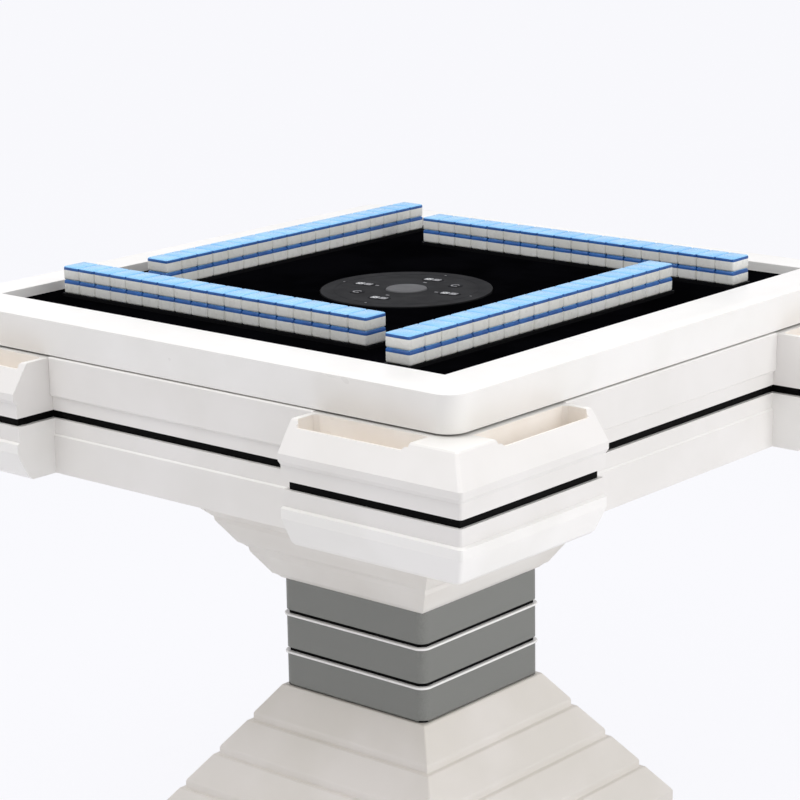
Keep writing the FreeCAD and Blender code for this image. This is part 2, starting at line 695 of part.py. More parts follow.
def make_side_panel():
    """One straight stretch of the upper casing, between two trays; the others are its turns."""
    z = s.tile_level
    form = stepped("side_form", [
        (s.band_half, s.upper_foot),
        (s.band_half, z - s.side_step_drop - s.side_step_bevel),
        (s.side_half, z - s.side_step_drop),
        (s.side_half, s.upper_top - s.tray_top_round + 1.0),
        (s.side_half - 1.5, s.upper_top)])
    room = s.core_half + s.core_gap
    stretch = box("side_stretch", -s.tray_end, s.tray_end, -FULL, -room, 0.0, z)
    wall = common("side_wall", form, stretch)
    shelf = box("side_shelf", -s.tray_end, s.tray_end, -room, -s.top_ring_half,
                s.upper_top - s.tray_floor, s.upper_top)
    panel = fuse("side_panel", wall, shelf)
    turns = [panel] + [turned_copy("side_panel_turn_%d" % i, panel, i) for i in (1, 2, 3)]
    finish("side_panels", group("side_panel_set", *turns))


def pocket(name):
    """Room of the pocket along the tray's front leg, with its lowered outer lip."""
    x0 = s.tray_end + s.pocket_end_wall
    x1 = x0 + s.pocket_length
    top = s.tray_top
    well = box(name + "_well", x0, x1, -s.pocket_outer_half, -s.pocket_inner_half,
               top - s.pocket_depth, top + 1.0)
    well = break_edges(name, well, s.pocket_round * 0.6,
                       lambda e: is_upright(e) and e.Vertexes[0].X < x0.value + 1.0)
    return well, lip_cut(name, x0, x1, top)


def lip_cut(name, x0, x1, top):
    """Prism that lowers the tray's outer wall beside a pocket, with slanting ends."""
    sketch = doc.addObject("Sketcher::SketchObject", name + "_lip_outline")
    turn(sketch, V(1, 0, 0), 90)
    drop = s.pocket_lip_drop
    corners = [(x0 + drop * 0.6, top - drop), (x1 - drop, top - drop),
               (x1 + 1.0, top + 1.0), (x0 - 1.0, top + 1.0)]
    pin_polygon(sketch, corners)
    prism = doc.addObject("Part::Extrusion", name + "_lip")
    prism.Base = sketch
    prism.DirMode = "Custom"
    prism.Dir = V(0, 1, 0)
    bind(prism, LengthFwd=FULL - s.pocket_outer_half)
    prism.Solid = True
    return place(prism, 0.0, -FULL, 0.0)


def make_trays():
    """The front right corner tray with a pocket along each leg; the others are its turns."""
    z = s.tile_level
    form = stepped("tray_form", [
        (s.tray_band_half, s.upper_foot),
        (s.tray_band_half, z - s.tray_step_drop),
        (s.tray_wide_half, z - s.tray_edge_drop),
        (s.tray_wide_half, z - s.tray_slope_drop),
        (s.tray_top_half, s.tray_top - s.tray_top_round * 0.6),
        (s.tray_top_half - s.tray_top_round, s.tray_top)])
    corner = box("tray_corner", s.tray_end, FULL, -FULL, -s.tray_end, 0.0, z)
    block = common("tray_block", form, corner)
    room = s.core_half + s.core_gap
    heart = box("tray_heart", 0.0, room, -room, 0.0, 0.0, z)
    well, lip = pocket("pocket")
    tools = [heart, well, lip, hollow_under_tray()]
    for tool in (well, lip, hollow_leg):
        flipped = doc.addObject("Part::Mirroring", tool.Name + "_flipped")
        flipped.Source = tool
        flipped.Normal = V(1, 1, 0)
        tools.append(flipped)
    shell = cut("tray_shell", block, *tools)
    shelf = box("tray_shelf", s.tray_end, room, -room, -s.tray_end,
                s.tray_top - s.tray_floor, s.tray_top)
    shelf_room = box("tray_shelf_room", 0.0, s.top_ring_half, -s.top_ring_half, 0.0, 0.0, z)
    tray = fuse("tray", shell, cut("tray_shelf_cut", shelf, shelf_room))
    for i, name in enumerate(("front_right", "back_right", "back_left", "front_left")):
        piece = tray if i == 0 else turned_copy("corner_tray_" + name + "_turn", tray, i)
        finish("corner_tray_" + name, piece)


def hollow_under_tray():
    """Room under the pocket of the tray's front leg, open at the bottom."""
    global hollow_leg
    room = s.core_half + s.core_gap
    wall = s.band_half - room
    outer = s.tray_band_half - wall
    hollow_leg = box("tray_hollow", s.tray_end + wall, outer, -outer, -room + 1.0, 0.0,
                     s.tray_top - s.pocket_depth - s.tray_floor)
    return hollow_leg


def inlet_hole():
    """Hole in the casing's floor for the mains inlet and the rocker switch."""
    return box("inlet_hole", s.inlet_x - s.inlet_body_length / 2 - 0.2,
               s.rocker_x + s.rocker_length / 2 + 4.2, s.inlet_y - s.inlet_body_width / 2 - 0.2,
               s.inlet_y + s.inlet_body_width / 2 + 0.2, 0.0, s.floor_top + 1.0)


# ---------------------------------------------------------------- top
def make_top_frame():
    block = frustum("rim_block", s.rim_foot_half, s.rim_outer_half, s.rim_bottom, s.tile_level)
    crown = slab("rim_crown", s.rim_outer_half, s.tile_level, s.rim_top)
    body = fuse("rim_body", block, crown)
    rounded = round_edges("rim_corners", body, s.rim_corner, is_upright)
    top = s.rim_top.value
    edged = break_edges("rim_edge", rounded, s.rim_edge_break,
                        lambda e: min(v.Z for v in e.Vertexes) > top - 0.01)
    well = slab("rim_well", s.rim_inner_half, s.board_bottom, FULL)
    throat = slab("rim_throat", s.rim_inner_half - s.rim_ledge, 0.0, FULL)
    hollow = frustum("rim_room_block", s.rim_foot_half - s.rim_skin,
                     s.rim_outer_half - s.rim_skin, s.rim_bottom - 0.5, s.tile_level)
    room = cut("rim_room", round_edges("rim_room_corners", hollow,
                                       s.rim_corner - s.rim_skin, is_upright),
               slab("rim_room_heart", s.rim_room_half, 0.0, FULL))
    finish("top_frame", cut("rim", edged, well, throat, room))


def lift_slot(name, i):
    """Slot in board and cloth that one lift comes up through."""
    half_x = s.lift_plate_half + s.slot_clearance
    half_y = s.lift_plate_depth_half + s.slot_clearance
    slot = box(name + "_block", s.lift_x - half_x, s.lift_x + half_x,
               s.lift_y - half_y, s.lift_y + half_y, 0.0, FULL)
    return slot if i == 0 else turned_copy(name, slot, i)


def make_board():
    for name, low, high, short in (
            ("table_board", s.board_bottom, s.board_top, s.board_clearance),
            ("table_cloth", s.board_top, s.cloth_height, s.board_clearance)):
        sheet_block = slab(name + "_block", s.rim_inner_half - short, low, high)
        mouth_radius = s.console_radius + s.console_gap
        mouth = (rod(name + "_mouth", mouth_radius, 0.0, FULL) if name == "table_cloth"
                 else prism(name + "_mouth", 24, mouth_radius, 0.0, FULL))
        slots = [lift_slot("%s_slot_%d" % (name, i), i) for i in range(4)]
        finish(name, cut(name + "_cut", sheet_block, mouth, *slots))


# ---------------------------------------------------------------- chassis
def channel(name, x0, x1, y0, y1, z0, z1):
    """A pressed channel, open below."""
    x0, x1, y0, y1, z1 = [Size.of(v) for v in (x0, x1, y0, y1, z1)]
    wall = s.bar_wall
    return cut(name, box(name + "_bar", x0, x1, y0, y1, z0, z1),
               box(name + "_room", x0 + wall, x1 - wall, y0 + wall, y1 - wall,
                   z0 - 1.0, z1 - wall))


def square_ring(name, half, low, high):
    """Four channels butted into a square."""
    inner = half - s.bar_size
    return [channel(name + "_front", -half, half, -half, -inner, low, high),
            channel(name + "_back", -half, half, inner, half, low, high),
            channel(name + "_left", -half, -inner, -inner, inner, low, high),
            channel(name + "_right", inner, half, -inner, inner, low, high)]


def make_chassis():
    """Frame of butted channels: a ring with crossed bars, four posts and an upper ring."""
    low, high = s.floor_top, s.bar_top
    inner = s.chassis_half - s.bar_size
    bars = square_ring("lower_ring", s.chassis_half, low, high)
    half_bar = s.bar_size / 2
    near, far = s.cross_offset - half_bar, s.cross_offset + half_bar
    for i, (y0, y1) in enumerate(((near, far), (-far, -near))):
        bars.append(channel("long_bar_%d" % i, -inner, inner, y0, y1, low, high))
        for j, (x0, x1) in enumerate(((near, far), (-far, -near))):
            z = (i, j)
            span = (far, inner) if i == 0 else (-inner, -far)
            bars.append(channel("short_bar_%d_%d" % z, x0, x1, span[0], span[1], low, high))
    for j, (x0, x1) in enumerate(((near, far), (-far, -near))):
        bars.append(channel("middle_bar_%d" % j, x0, x1, -near, near, low, high))
    ring_low = s.rim_bottom - s.bar_size
    bars += square_ring("upper_ring", s.top_ring_half, ring_low, s.rim_bottom)
    at = s.top_ring_half - half_bar
    for i, (sx, sy) in enumerate(((1, 1), (-1, 1), (-1, -1), (1, -1))):
        x, y = at * sx, at * sy
        bars.append(box("upright_%d" % i, x - half_bar, x + half_bar, y - half_bar,
                        y + half_bar, high, ring_low))
    finish("chassis_frame", group("chassis", *bars))


# ---------------------------------------------------------------- drum
def make_drum():
    outer = s.drum_radius
    wall = cut("drum_wall_ring", rod("drum_outer", outer, s.drum_floor_top, s.drum_top),
               prism("drum_room", 36, outer - s.drum_wall, 0.0, FULL))
    floor = cut("drum_floor", rod("drum_floor_disc", outer, s.bar_top, s.drum_floor_top),
                prism("drum_floor_eye", 8, s.screw_radius * 2, 0.0, FULL))
    shell = fuse("drum_shell_body", wall, floor)
    shaft_at = s.skirt_radius - s.skirt_wall - s.drive_wheel_radius - s.running_gap
    shaft_hole = prism("drum_shaft_hole", 8, s.lift_shaft_radius * 1.5, 0.0, FULL, shaft_at, 0.0)
    finish("drum_shell", cut("drum", shell, shaft_hole))
    sleeve = prism("sleeve_tube", 24, (s.stem_radius + s.sleeve_wall) * math.cos(math.pi / 24),
                   s.drum_floor_top, s.sleeve_top)
    flange = slab("sleeve_flange", s.hub_flange_half, s.drum_floor_top, s.hub_flange_top)
    finish("console_sleeve", cut("sleeve", fuse("sleeve_body", sleeve, flange),
                                 rod("sleeve_bore", s.stem_radius, 0.0, FULL)))
    sleeve_outer = s.stem_radius + s.sleeve_wall
    finish("turntable_bearing", cut("bearing", prism("bearing_ring", 24, s.bearing_radius,
                                                     s.hub_flange_top, s.bearing_top),
                                    prism("bearing_eye", 24, sleeve_outer * math.cos(math.pi / 24)
                                          + s.stem_fit, 0.0, FULL)))
    make_turntable(sleeve_outer)
    tyre = prism("tyre_disc", 24, s.drive_wheel_radius * math.cos(math.pi / 24),
                 s.skirt_low + 1.0, s.skirt_low + 1.0 + s.drive_wheel_height, shaft_at, 0.0)
    shaft = rod("drive_shaft", s.lift_shaft_radius, s.bar_top - 8.0,
                s.skirt_low + 1.0 + s.drive_wheel_height, shaft_at, 0.0)
    finish("drive_wheel", fuse("drive", tyre, shaft))
    motor = cut("shuffle_motor_body",
                prism("shuffle_motor_can", 8, s.drive_motor_radius, s.floor_top, s.bar_top,
                      shaft_at, 0.0),
                prism("shuffle_motor_eye", 8, s.lift_shaft_radius + s.stem_fit, s.bar_top - 8.5,
                      FULL, shaft_at, 0.0))
    finish("shuffle_motor", motor)


def make_turntable(sleeve_outer):
    """A shallow many-sided cone that throws tiles outwards, with paddles and a skirt."""
    low = s.turntable_low
    cone = sixteen_sided("turntable_cone", s.turntable_radius, s.turntable_hub_radius,
                         low + s.turntable_thick, low + s.turntable_thick + s.turntable_rise)
    plate = prism("turntable_plate", 36, s.turntable_radius, low, low + s.turntable_thick)
    hollow = sixteen_sided("turntable_hollow", s.turntable_radius - s.turntable_thick * 3,
                           s.turntable_hub_radius + s.turntable_thick, low,
                           low + s.turntable_rise - s.turntable_thick)
    skirt = cut("skirt", prism("skirt_ring", 36, s.skirt_radius, s.skirt_low,
                               low + s.turntable_rise / 2),
                prism("skirt_eye", 36, s.skirt_radius - s.skirt_wall, 0.0, FULL))
    paddles = []
    for i in range(4):
        bar = box("paddle_%d" % i, s.turntable_hub_radius + 10.0, s.turntable_radius - 30.0,
                  -s.paddle_thick / 2, s.paddle_thick / 2, low + s.turntable_thick,
                  low + s.turntable_rise + 2.0)
        paddles.append(bar if i == 0 else turned_copy("paddle_turn_%d" % i, bar, i))
    hub = prism("turntable_hub", 16, s.turntable_hub_radius * math.cos(math.pi / 16), low,
                low + s.turntable_thick + s.turntable_rise)
    dish = cut("dish", fuse("dish_solid", cone, plate), hollow)
    body = fuse("turntable_body", dish, skirt, hub, *paddles)
    finish("turntable", cut("turntable_cut", body,
                            prism("turntable_eye", 24, sleeve_outer + s.running_gap, 0.0, FULL)))


# ---------------------------------------------------------------- console
def make_console():
    radius = s.console_radius
    low, high = s.console_bottom, s.console_face_low
    circuit_low = high - s.key_height - s.key_travel - s.circuit_thick
    pot = cut("console_pot", rod("console_block", radius, low, high),
              prism("console_room", 24, radius - s.console_wall * 2, low + s.console_wall, FULL))
    posts = []
    for i, (sx, sy) in enumerate(((1, 0), (0, 1), (-1, 0), (0, -1))):
        posts.append(square_bar("circuit_post_%d" % i, s.circuit_post_half, low + 1.0,
                                circuit_low, s.circuit_post_circle * sx,
                                s.circuit_post_circle * sy))
    finish("console_housing", fuse("console_housing_body", pot, *posts))
    nut_reach = (s.stem_radius - s.stem_wall) * math.cos(math.pi / 6)
    bore = prism("console_stem_bore", 6, nut_reach, 0.0, low)
    finish("console_stem", cut("stem", rod("console_stem_block", s.stem_outer, s.stem_low, low),
                               bore))
    face = cut("face", rod("face_disc", radius, high, s.console_top),
               rod("face_eye", s.console_cap_radius + s.key_gap, 0.0, FULL),
               *[key_block(name, "hole", s.key_gap, Size.of(0.0), Size.of(FULL))
                 for name in KEY_ANGLES])
    finish("console_face", face)
    cap = fuse("cap", rod("cap_disc", s.console_cap_radius, high - 2.0, s.console_top),
               prism("cap_flange", 12, s.console_cap_radius + 3.0, high - 2.0, high), cap_crown())
    finish("console_cap", cap)
    finish("console_circuit", slab("circuit", s.circuit_half, circuit_low,
                                   circuit_low + s.circuit_thick))
    nut = cut("nut", prism("nut_block", 6, nut_reach - 0.02, s.stem_low,
                           s.stem_low + s.nut_height),
              rod("nut_eye", s.screw_radius + s.stem_fit, 0.0, FULL))
    finish("console_nut", nut)
    finish("console_screw", rod("screw_bar", s.screw_radius, s.bar_top - 8.0,
                                s.drum_floor_top + s.screw_length))
    can = prism("console_motor_can", 8, s.console_motor_radius, s.floor_top + 2.0, s.bar_top)
    flange = slab("console_motor_flange", s.console_motor_radius + 7.0, s.bar_top - 3.0,
                  s.bar_top)
    motor = cut("console_motor_body", fuse("console_motor_solid", can, flange),
                prism("console_motor_eye", 8, s.screw_radius + s.stem_fit, s.bar_top - 8.5, FULL))
    finish("console_motor", motor)


def cap_crown():
    """Shallow cone that crowns the middle of the console."""
    crown = doc.addObject("Part::Cone", "cap_crown")
    bind(crown, Radius1=s.console_cap_radius, Radius2=s.console_cap_radius - s.console_cap_slope,
         Height=s.console_cap_rise)
    return place(crown, 0.0, 0.0, s.console_top)


KEY_ANGLES = {"dice_key_front": -90.0, "dice_key_right": 0.0, "dice_key_back": 90.0,
              "dice_key_left": 180.0, "lift_key_left": -135.0, "lift_key_right": 45.0}


def key_block(name, use, spread, z0, z1):
    """One key's upright form on its spot, spread outwards all round."""
    label = name + "_" + use
    angle = math.radians(KEY_ANGLES[name])
    x, y = s.key_circle * math.cos(angle), s.key_circle * math.sin(angle)
    if name.startswith("lift"):
        radius = s.lift_key_radius + spread
        block = (rod(label, radius, z0, z1, x, y) if use in ("top", "hole")
                 else prism(label, 8, radius, z0, z1, x, y))
    else:
        half_length = s.dice_key_length / 2 + spread
        half_width = s.dice_key_width / 2 + spread
        block = box(label, x - half_length, x + half_length, y - half_width, y + half_width,
                    z0, z1)
        block = break_edges(label + "_ends", block, half_width * 0.55, is_upright)
    holder = group(label + "_holder", block)
    return turn(holder, V(0, 0, 1), SIZES["console_turn"])


def make_keys():
    low = s.console_face_low - s.key_height
    for name in KEY_ANGLES:
        flange_top = s.console_face_low - s.stem_fit
        flange_low = flange_top - s.key_flange
        top = key_block(name, "top", Size.of(0.0), flange_low, s.console_top + s.key_proud)
        flange = key_block(name, "flange", s.key_flange_spread, flange_low, flange_top)
        plunger = key_block(name, "plunger", -s.key_flange_spread, low, flange_low)
        finish(name, fuse(name + "_body", top, flange, plunger))


# ---------------------------------------------------------------- lifts
def gear_tooth_points(teeth, module, backlash):
    """One tooth of a spur gear in its own plane: involute flanks between root and tip."""
    pitch = module * teeth / 2
    base = pitch * math.cos(math.radians(20))
    tip = pitch + module * 0.95
    root = pitch - module * 1.2
    half_thick = (math.pi * module / 2 - backlash) / 2 / pitch
    involute = lambda radius: math.tan(math.acos(base / radius)) - math.acos(base / radius)
    flank = []
    steps = 2
    start = max(base, root + module * 0.4)
    for k in range(steps + 1):
        radius = start + (tip - start) * k / steps
        flank.append((radius, half_thick + involute(pitch) - involute(radius)))
    return [(root, flank[0][1] + 0.3 * module / root), flank[2]]


def gear_shape(teeth, module, backlash, width):
    """A spur gear on the Z axis with a tooth centred on +X."""
    half = gear_tooth_points(teeth, module, backlash)
    outline = []
    for k in range(teeth):
        middle = 2 * math.pi * k / teeth
        outline += [(r, middle - a) for r, a in half]
        outline += [(r, middle + a) for r, a in reversed(half)]
    points = [V(r * math.cos(a), r * math.sin(a), 0) for r, a in outline]
    wire = Part.makePolygon(points + [points[0]])
    return Part.Face(wire).extrude(V(0, 0, width))


def rack_shape(module, backlash, length, back, depth):
    """A rack along +Z with its pitch line at X = 0 and teeth towards +X."""
    pitch = math.pi * module
    lean = math.tan(math.radians(20))
    tip, root = module * 0.95, -module * 1.2
    half = (pitch / 2 - backlash) / 2
    count = int(SIZES["rack_teeth"])
    points = [V(root - back, 0, 0), V(root, 0, 0)]
    for k in range(count):
        middle = pitch * (k + 0.5)
        points.append(V(root, 0, middle - half + root * lean))
        points.append(V(tip, 0, middle - half + tip * lean))
        points.append(V(tip, 0, middle + half - tip * lean))
        points.append(V(root, 0, middle + half - root * lean))
    points.append(V(root, 0, length))
    points.append(V(root - back, 0, length))
    wire = Part.makePolygon(points + [points[0]])
    return Part.Face(wire).extrude(V(0, depth, 0))


SIDES = ("front", "right", "back", "left")


def make_lifts():
    x, y = s.lift_x, s.lift_y
    top = s.tile_level
    low = top - s.lift_plate_thick
    plate = box("lift_plate", x - s.lift_plate_half, x + s.lift_plate_half,
                y - s.lift_plate_depth_half, y + s.lift_plate_depth_half, low, top)
    spine = box("lift_spine", x - s.lift_base_half, x + s.lift_base_half,
                y - s.lift_spine_thick / 2, y + s.lift_spine_thick / 2,
                low - s.lift_spine_height, low)
    bars = [square_bar("lift_bar_%d" % i, s.lift_bar_half, low - s.lift_bar_length, low,
                       x + s.lift_bar_offset * sign, y) for i, sign in enumerate((-1, 1))]
    rack = doc.addObject("Part::Feature", "lift_rack")
    rack.Shape = rack_shape(SIZES["gear_module"], SIZES["gear_backlash"],
                            SIZES["lift_bar_length"], SIZES["lift_rack_back"],
                            SIZES["lift_rack_depth"])
    place(rack, x, y - s.lift_rack_depth / 2, low - s.lift_bar_length)
    carriage = fuse("lift_carriage", plate, spine, rack, *bars)
    base = lift_base(x, y)
    pinion = lift_pinion(x, y)
    motor = lift_motor(x, y)
    for i, side in enumerate(SIDES):
        for label, source in (("lift_plate_", carriage), ("lift_pinion_", pinion)):
            piece = source if i == 0 else turned_copy(label + side + "_turn", source, i)
            finish(label + side, piece)
    for name, source in (("lift_guides", base), ("lift_motors", motor)):
        turns = [turned_copy("%s_turn_%d" % (name, i), source, i) for i in (1, 2, 3)]
        finish(name, group(name + "_set", source, *turns))


def lift_base(x, y):
    """Steel bracket on the chassis: guide bushings for the rods and a wall for the motor."""
    low, high = s.bar_top, s.lift_base_top
    plate = box("guide_plate", x - s.lift_base_half, x + s.lift_base_half,
                y - s.lift_plate_depth_half, y + s.lift_plate_depth_half, low, high)
    bushings = [square_bar("bushing_%d" % i, s.bushing_half, high, high + s.bushing_height,
                           x + s.lift_bar_offset * sign, y) for i, sign in enumerate((-1, 1))]
    bores = [square_bar("bushing_bore_%d" % i, s.lift_bar_half + s.lift_fit, 0.0, FULL,
                        x + s.lift_bar_offset * sign, y) for i, sign in enumerate((-1, 1))]
    wall_out = y - s.lift_plate_depth_half
    wall = box("motor_wall", x - 8.0, x + s.pitch_radius * 2 + 24.0, wall_out,
               wall_out + s.motor_wall_thick, high, s.pinion_level + s.lift_motor_radius)
    window = box("rack_window", x - s.lift_rack_back - 6.0, x + 5.0,
                 y - s.lift_rack_depth / 2 - 2.0, y + s.lift_rack_depth / 2 + 2.0, 0.0, high + 1.0)
    eye = prism_along_y("motor_eye", 8, s.lift_shaft_radius + s.stem_fit, wall_out - 5.0,
                        wall_out + s.motor_wall_thick + 5.0, x + s.pitch_radius, s.pinion_level)
    return cut("guide", fuse("guide_body", plate, wall, *bushings), window, eye, *bores)


def lift_pinion(x, y):
    """Pinion and shaft; a gap between two teeth faces the rack's tooth."""
    gear = doc.addObject("Part::Feature", "pinion_gear")
    teeth = int(SIZES["pinion_teeth"])
    gear.Shape = gear_shape(teeth, SIZES["gear_module"], SIZES["gear_backlash"],
                            SIZES["pinion_width"])
    rack_low = SIZES["tile_level"] - SIZES["lift_plate_thick"] - SIZES["lift_bar_length"]
    pitch = math.pi * SIZES["gear_module"]
    phase = (s.pinion_level.value - rack_low) / pitch - 0.5
    turned = 360.0 / teeth * (phase - math.floor(phase) + 0.5)
    seat = FreeCAD.Rotation(V(1, 0, 0), -90)
    spin = FreeCAD.Rotation(V(0, 0, 1), 180.0 + turned)
    gear.Placement = FreeCAD.Placement(V(0, 0, 0), seat.multiply(spin))
    place(gear, x + s.pitch_radius, y - s.pinion_width / 2, s.pinion_level)
    shaft = rod_along_y("pinion_shaft", s.lift_shaft_radius,
                        y - s.lift_plate_depth_half - 10.0, y + s.pinion_width / 2,
                        x + s.pitch_radius, s.pinion_level)
    return fuse("pinion", gear, shaft)


def lift_motor(x, y):
    """Gear motor bolted to the outside of the bracket's wall."""
    face = y - s.lift_plate_depth_half
    can = prism_along_y("lift_motor_can", 8, s.lift_motor_radius, face - s.lift_motor_length,
                        face, x + s.pitch_radius, s.pinion_level)
    eye = prism_along_y("lift_motor_eye", 8, s.lift_shaft_radius + s.stem_fit, face - 10.5,
                        face + 1.0, x + s.pitch_radius, s.pinion_level)
    return cut("lift_motor", can, eye)


def make_tiles():
    """Four walls of tiles, two high, standing on the lifts."""
    width, length = SIZES["tile_width"], SIZES["tile_length"]
    thick, gap = SIZES["tile_thick"], SIZES["tile_gap"]
    tile = Part.makeBox(width - gap, length, thick, V(gap / 2, 0, 0))
    stack = []
    for k in range(int(SIZES["wall_stacks"])):
        for level in range(2):
            stack.append(tile.translated(V(k * width, 0, level * thick)))
    wall = doc.addObject("Part::Feature", "tile_wall")
    wall.Shape = Part.makeCompound(stack)
    place(wall, -s.wall_end, -s.wall_outer_face, s.tile_level)
    for i, side in enumerate(SIDES):
        piece = wall if i == 0 else turned_copy("tile_wall_" + side + "_turn", wall, i)
        finish("tile_wall_" + side, piece)


# ---------------------------------------------------------------- electrics
def make_electrics():
    low = s.floor_top
    at = s.box_offset
    finish("control_box", box("control_block", at, at + s.box_length, at, at + s.box_width,
                              low, low + s.box_height))
    finish("power_supply", box("supply_block", -at - s.box_length, -at, at, at + s.box_width,
                               low, low + s.box_height))
    x, y = s.inlet_x, s.inlet_y
    half_l, half_w = s.inlet_body_length / 2, s.inlet_body_width / 2
    high = s.casing_foot + s.inlet_height
    plate_low = s.casing_foot - s.inlet_flange
    far = s.rocker_x + s.rocker_length / 2 + 4.0
    body = box("inlet_body", x - half_l, far, y - half_w, y + half_w, plate_low, high)
    reach = s.inlet_reach
    flange = box("inlet_plate", x - half_l - reach, far + reach, y - half_w - reach,
                 y + half_w + reach, plate_low, s.casing_foot)
    socket = box("inlet_socket", x - half_l + 5.0, x + half_l - 8.0, y - half_w + 4.0,
                 y + half_w - 4.0, 0.0, high - 5.0)
    bay_half = s.rocker_width / 2 + 0.3
    bay = box("rocker_bay", s.rocker_x - s.rocker_length / 2 - 0.4,
              s.rocker_x + s.rocker_length / 2 + 0.4, y - bay_half, y + bay_half,
              0.0, high - 8.0)
    pin_bore = prism_along_y("rocker_bore", 8, s.rocker_pin_radius + s.stem_fit,
                             y - bay_half - 1.5, y + bay_half + 1.5, s.rocker_x,
                             s.casing_foot + 0.5)
    inlet = cut("inlet", fuse("inlet_solid", body, flange), socket, bay, pin_bore)
    finish("power_inlet", inlet)
    make_rocker()


def make_rocker():
    """Rocker of the mains switch, tipped to its off side."""
    x, y = s.rocker_x, s.inlet_y
    axle = s.casing_foot + 0.5
    half_length = s.rocker_length / 2 - 0.6
    half_width = s.rocker_width / 2
    block = box("rocker_block", -half_length, half_length, -half_width, half_width,
                -s.rocker_thick / 2, s.rocker_thick / 2)
    pin_reach = half_width + 1.5
    axle_pin = rod_along_y("rocker_pin", s.rocker_pin_radius, -pin_reach, pin_reach, 0.0, 0.0)
    tipped = group("rocker_tipped", fuse("rocker_body", block, axle_pin))
    turn(tipped, V(0, 1, 0), SIZES["rocker_tilt"])
    finish("power_rocker", place(tipped, x, y, axle))


# ---------------------------------------------------------------- assembly
make_base()
make_post()
make_column()
make_neck()
make_lower_casing()
make_core()
make_side_panel()
make_trays()
make_top_frame()
make_board()
make_chassis()
make_drum()
make_console()
make_keys()
make_lifts()
make_tiles()
make_electrics()
doc.recompute()

for part in doc.Objects:
    if "Invalid" in part.State or "Error" in part.State:
        raise RuntimeError(part.Name + " failed: " + ", ".join(part.State))

os.makedirs("parts", exist_ok=True)
for node_name, node in nodes:
    if node.Shape.isNull() or not node.Shape.isValid():
        raise RuntimeError(node_name + " has no valid shape")
    node.Shape.exportStep(os.path.join("parts", node_name + ".step"))
    print(node_name, len(node.Shape.Solids), round(node.Shape.Volume / 1000.0, 1), "cm3")
print(len(nodes), "nodes")
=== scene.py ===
# %% [markdown]
# # A self-shuffling mahjong table
# The table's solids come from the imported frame, in metres, with the floor at Z = 0. This lesson
# gives them the look of the real thing: edges that are rounded as a moulding's are, materials
# with the right gloss and grain, tiles with their blue backs, a printed console and soft light.

# %% Load the frame
import json
import math
import random
import bpy
from mathutils import Matrix, Vector


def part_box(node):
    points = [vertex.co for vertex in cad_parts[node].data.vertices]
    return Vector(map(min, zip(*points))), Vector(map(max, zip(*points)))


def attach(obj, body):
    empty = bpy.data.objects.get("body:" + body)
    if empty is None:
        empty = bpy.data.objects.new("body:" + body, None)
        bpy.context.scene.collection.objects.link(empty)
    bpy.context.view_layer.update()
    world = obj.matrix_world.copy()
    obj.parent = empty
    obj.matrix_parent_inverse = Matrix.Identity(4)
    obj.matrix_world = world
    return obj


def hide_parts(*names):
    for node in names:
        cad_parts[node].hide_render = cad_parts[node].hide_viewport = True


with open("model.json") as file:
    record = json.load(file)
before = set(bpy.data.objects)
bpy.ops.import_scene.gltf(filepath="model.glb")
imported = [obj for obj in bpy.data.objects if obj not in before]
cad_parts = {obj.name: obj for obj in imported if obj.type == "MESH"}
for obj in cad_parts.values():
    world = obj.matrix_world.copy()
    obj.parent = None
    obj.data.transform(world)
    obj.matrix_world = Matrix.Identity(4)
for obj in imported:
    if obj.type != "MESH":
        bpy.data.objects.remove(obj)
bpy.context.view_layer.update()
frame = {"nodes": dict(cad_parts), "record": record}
nodes = frame["nodes"]
mm = 0.001
body_of = {}
for body_name, members in frame["record"]["behaviour"]["bodies"].items():
    for member in members:
        body_of[member] = body_name
slot_of = {entry["node"]: entry["material_slot"] for entry in frame["record"]["subparts"]}

# %% [markdown]
# ## The camera
# The view is a long lens from the front right corner, a little over the table top. Its place
# and angles were worked out from the tile joints: 40.7 degrees round, 14.2 degrees down, and
# under a degree of roll. A camera looks along its own -Z, so it is first tipped up from
# looking at the floor, then turned about the vertical.

# %% Set the camera
CAMERA_AT = (2.1896, -2.5627, 1.4738)
AROUND, DOWN, ROLL = 40.702, 14.239, -0.939
camera_data = bpy.data.cameras.new("camera")
camera_data.sensor_width = 36.0
camera_data.lens = 115.13
camera_data.clip_end = 60.0
camera = bpy.data.objects.new("camera", camera_data)
bpy.context.scene.collection.objects.link(camera)
around = Matrix.Rotation(math.radians(AROUND), 4, "Z")
tip = Matrix.Rotation(math.radians(90.0 - DOWN), 4, "X")
roll = Matrix.Rotation(math.radians(ROLL), 4, "Z")
camera.matrix_world = Matrix.Translation(CAMERA_AT) @ around @ tip @ roll
bpy.context.scene.camera = camera
print("camera at", [round(v, 3) for v in camera.matrix_world.translation])

# %% [markdown]
# ## Helpers for picking and shaping
# The operators work on whatever is selected, so each step begins by clearing the selection.
# Faces are then chosen by where they are and which way they look, as one would by hand. Most
# of a piece's shaping is done in edit mode, and the helpers enter and leave it.

# %% Picking helpers
def pick(*objects):
    """Selects only these objects and makes the first one active."""
    if bpy.context.object and bpy.context.object.mode != "OBJECT":
        bpy.ops.object.mode_set(mode="OBJECT")
    bpy.ops.object.select_all(action="DESELECT")
    for thing in objects:
        thing.select_set(True)
    bpy.context.view_layer.objects.active = objects[0]
    return objects[0]


def edit_faces(piece, wanted):
    """Enters edit mode with the faces selected for which wanted(centre, normal) is true."""
    pick(piece)
    bpy.ops.object.mode_set(mode="EDIT")
    bpy.ops.mesh.select_mode(type="FACE")
    bpy.ops.mesh.select_all(action="DESELECT")
    bpy.ops.object.mode_set(mode="OBJECT")
    for face in piece.data.polygons:
        face.select = wanted(face.center, face.normal)
    bpy.ops.object.mode_set(mode="EDIT")


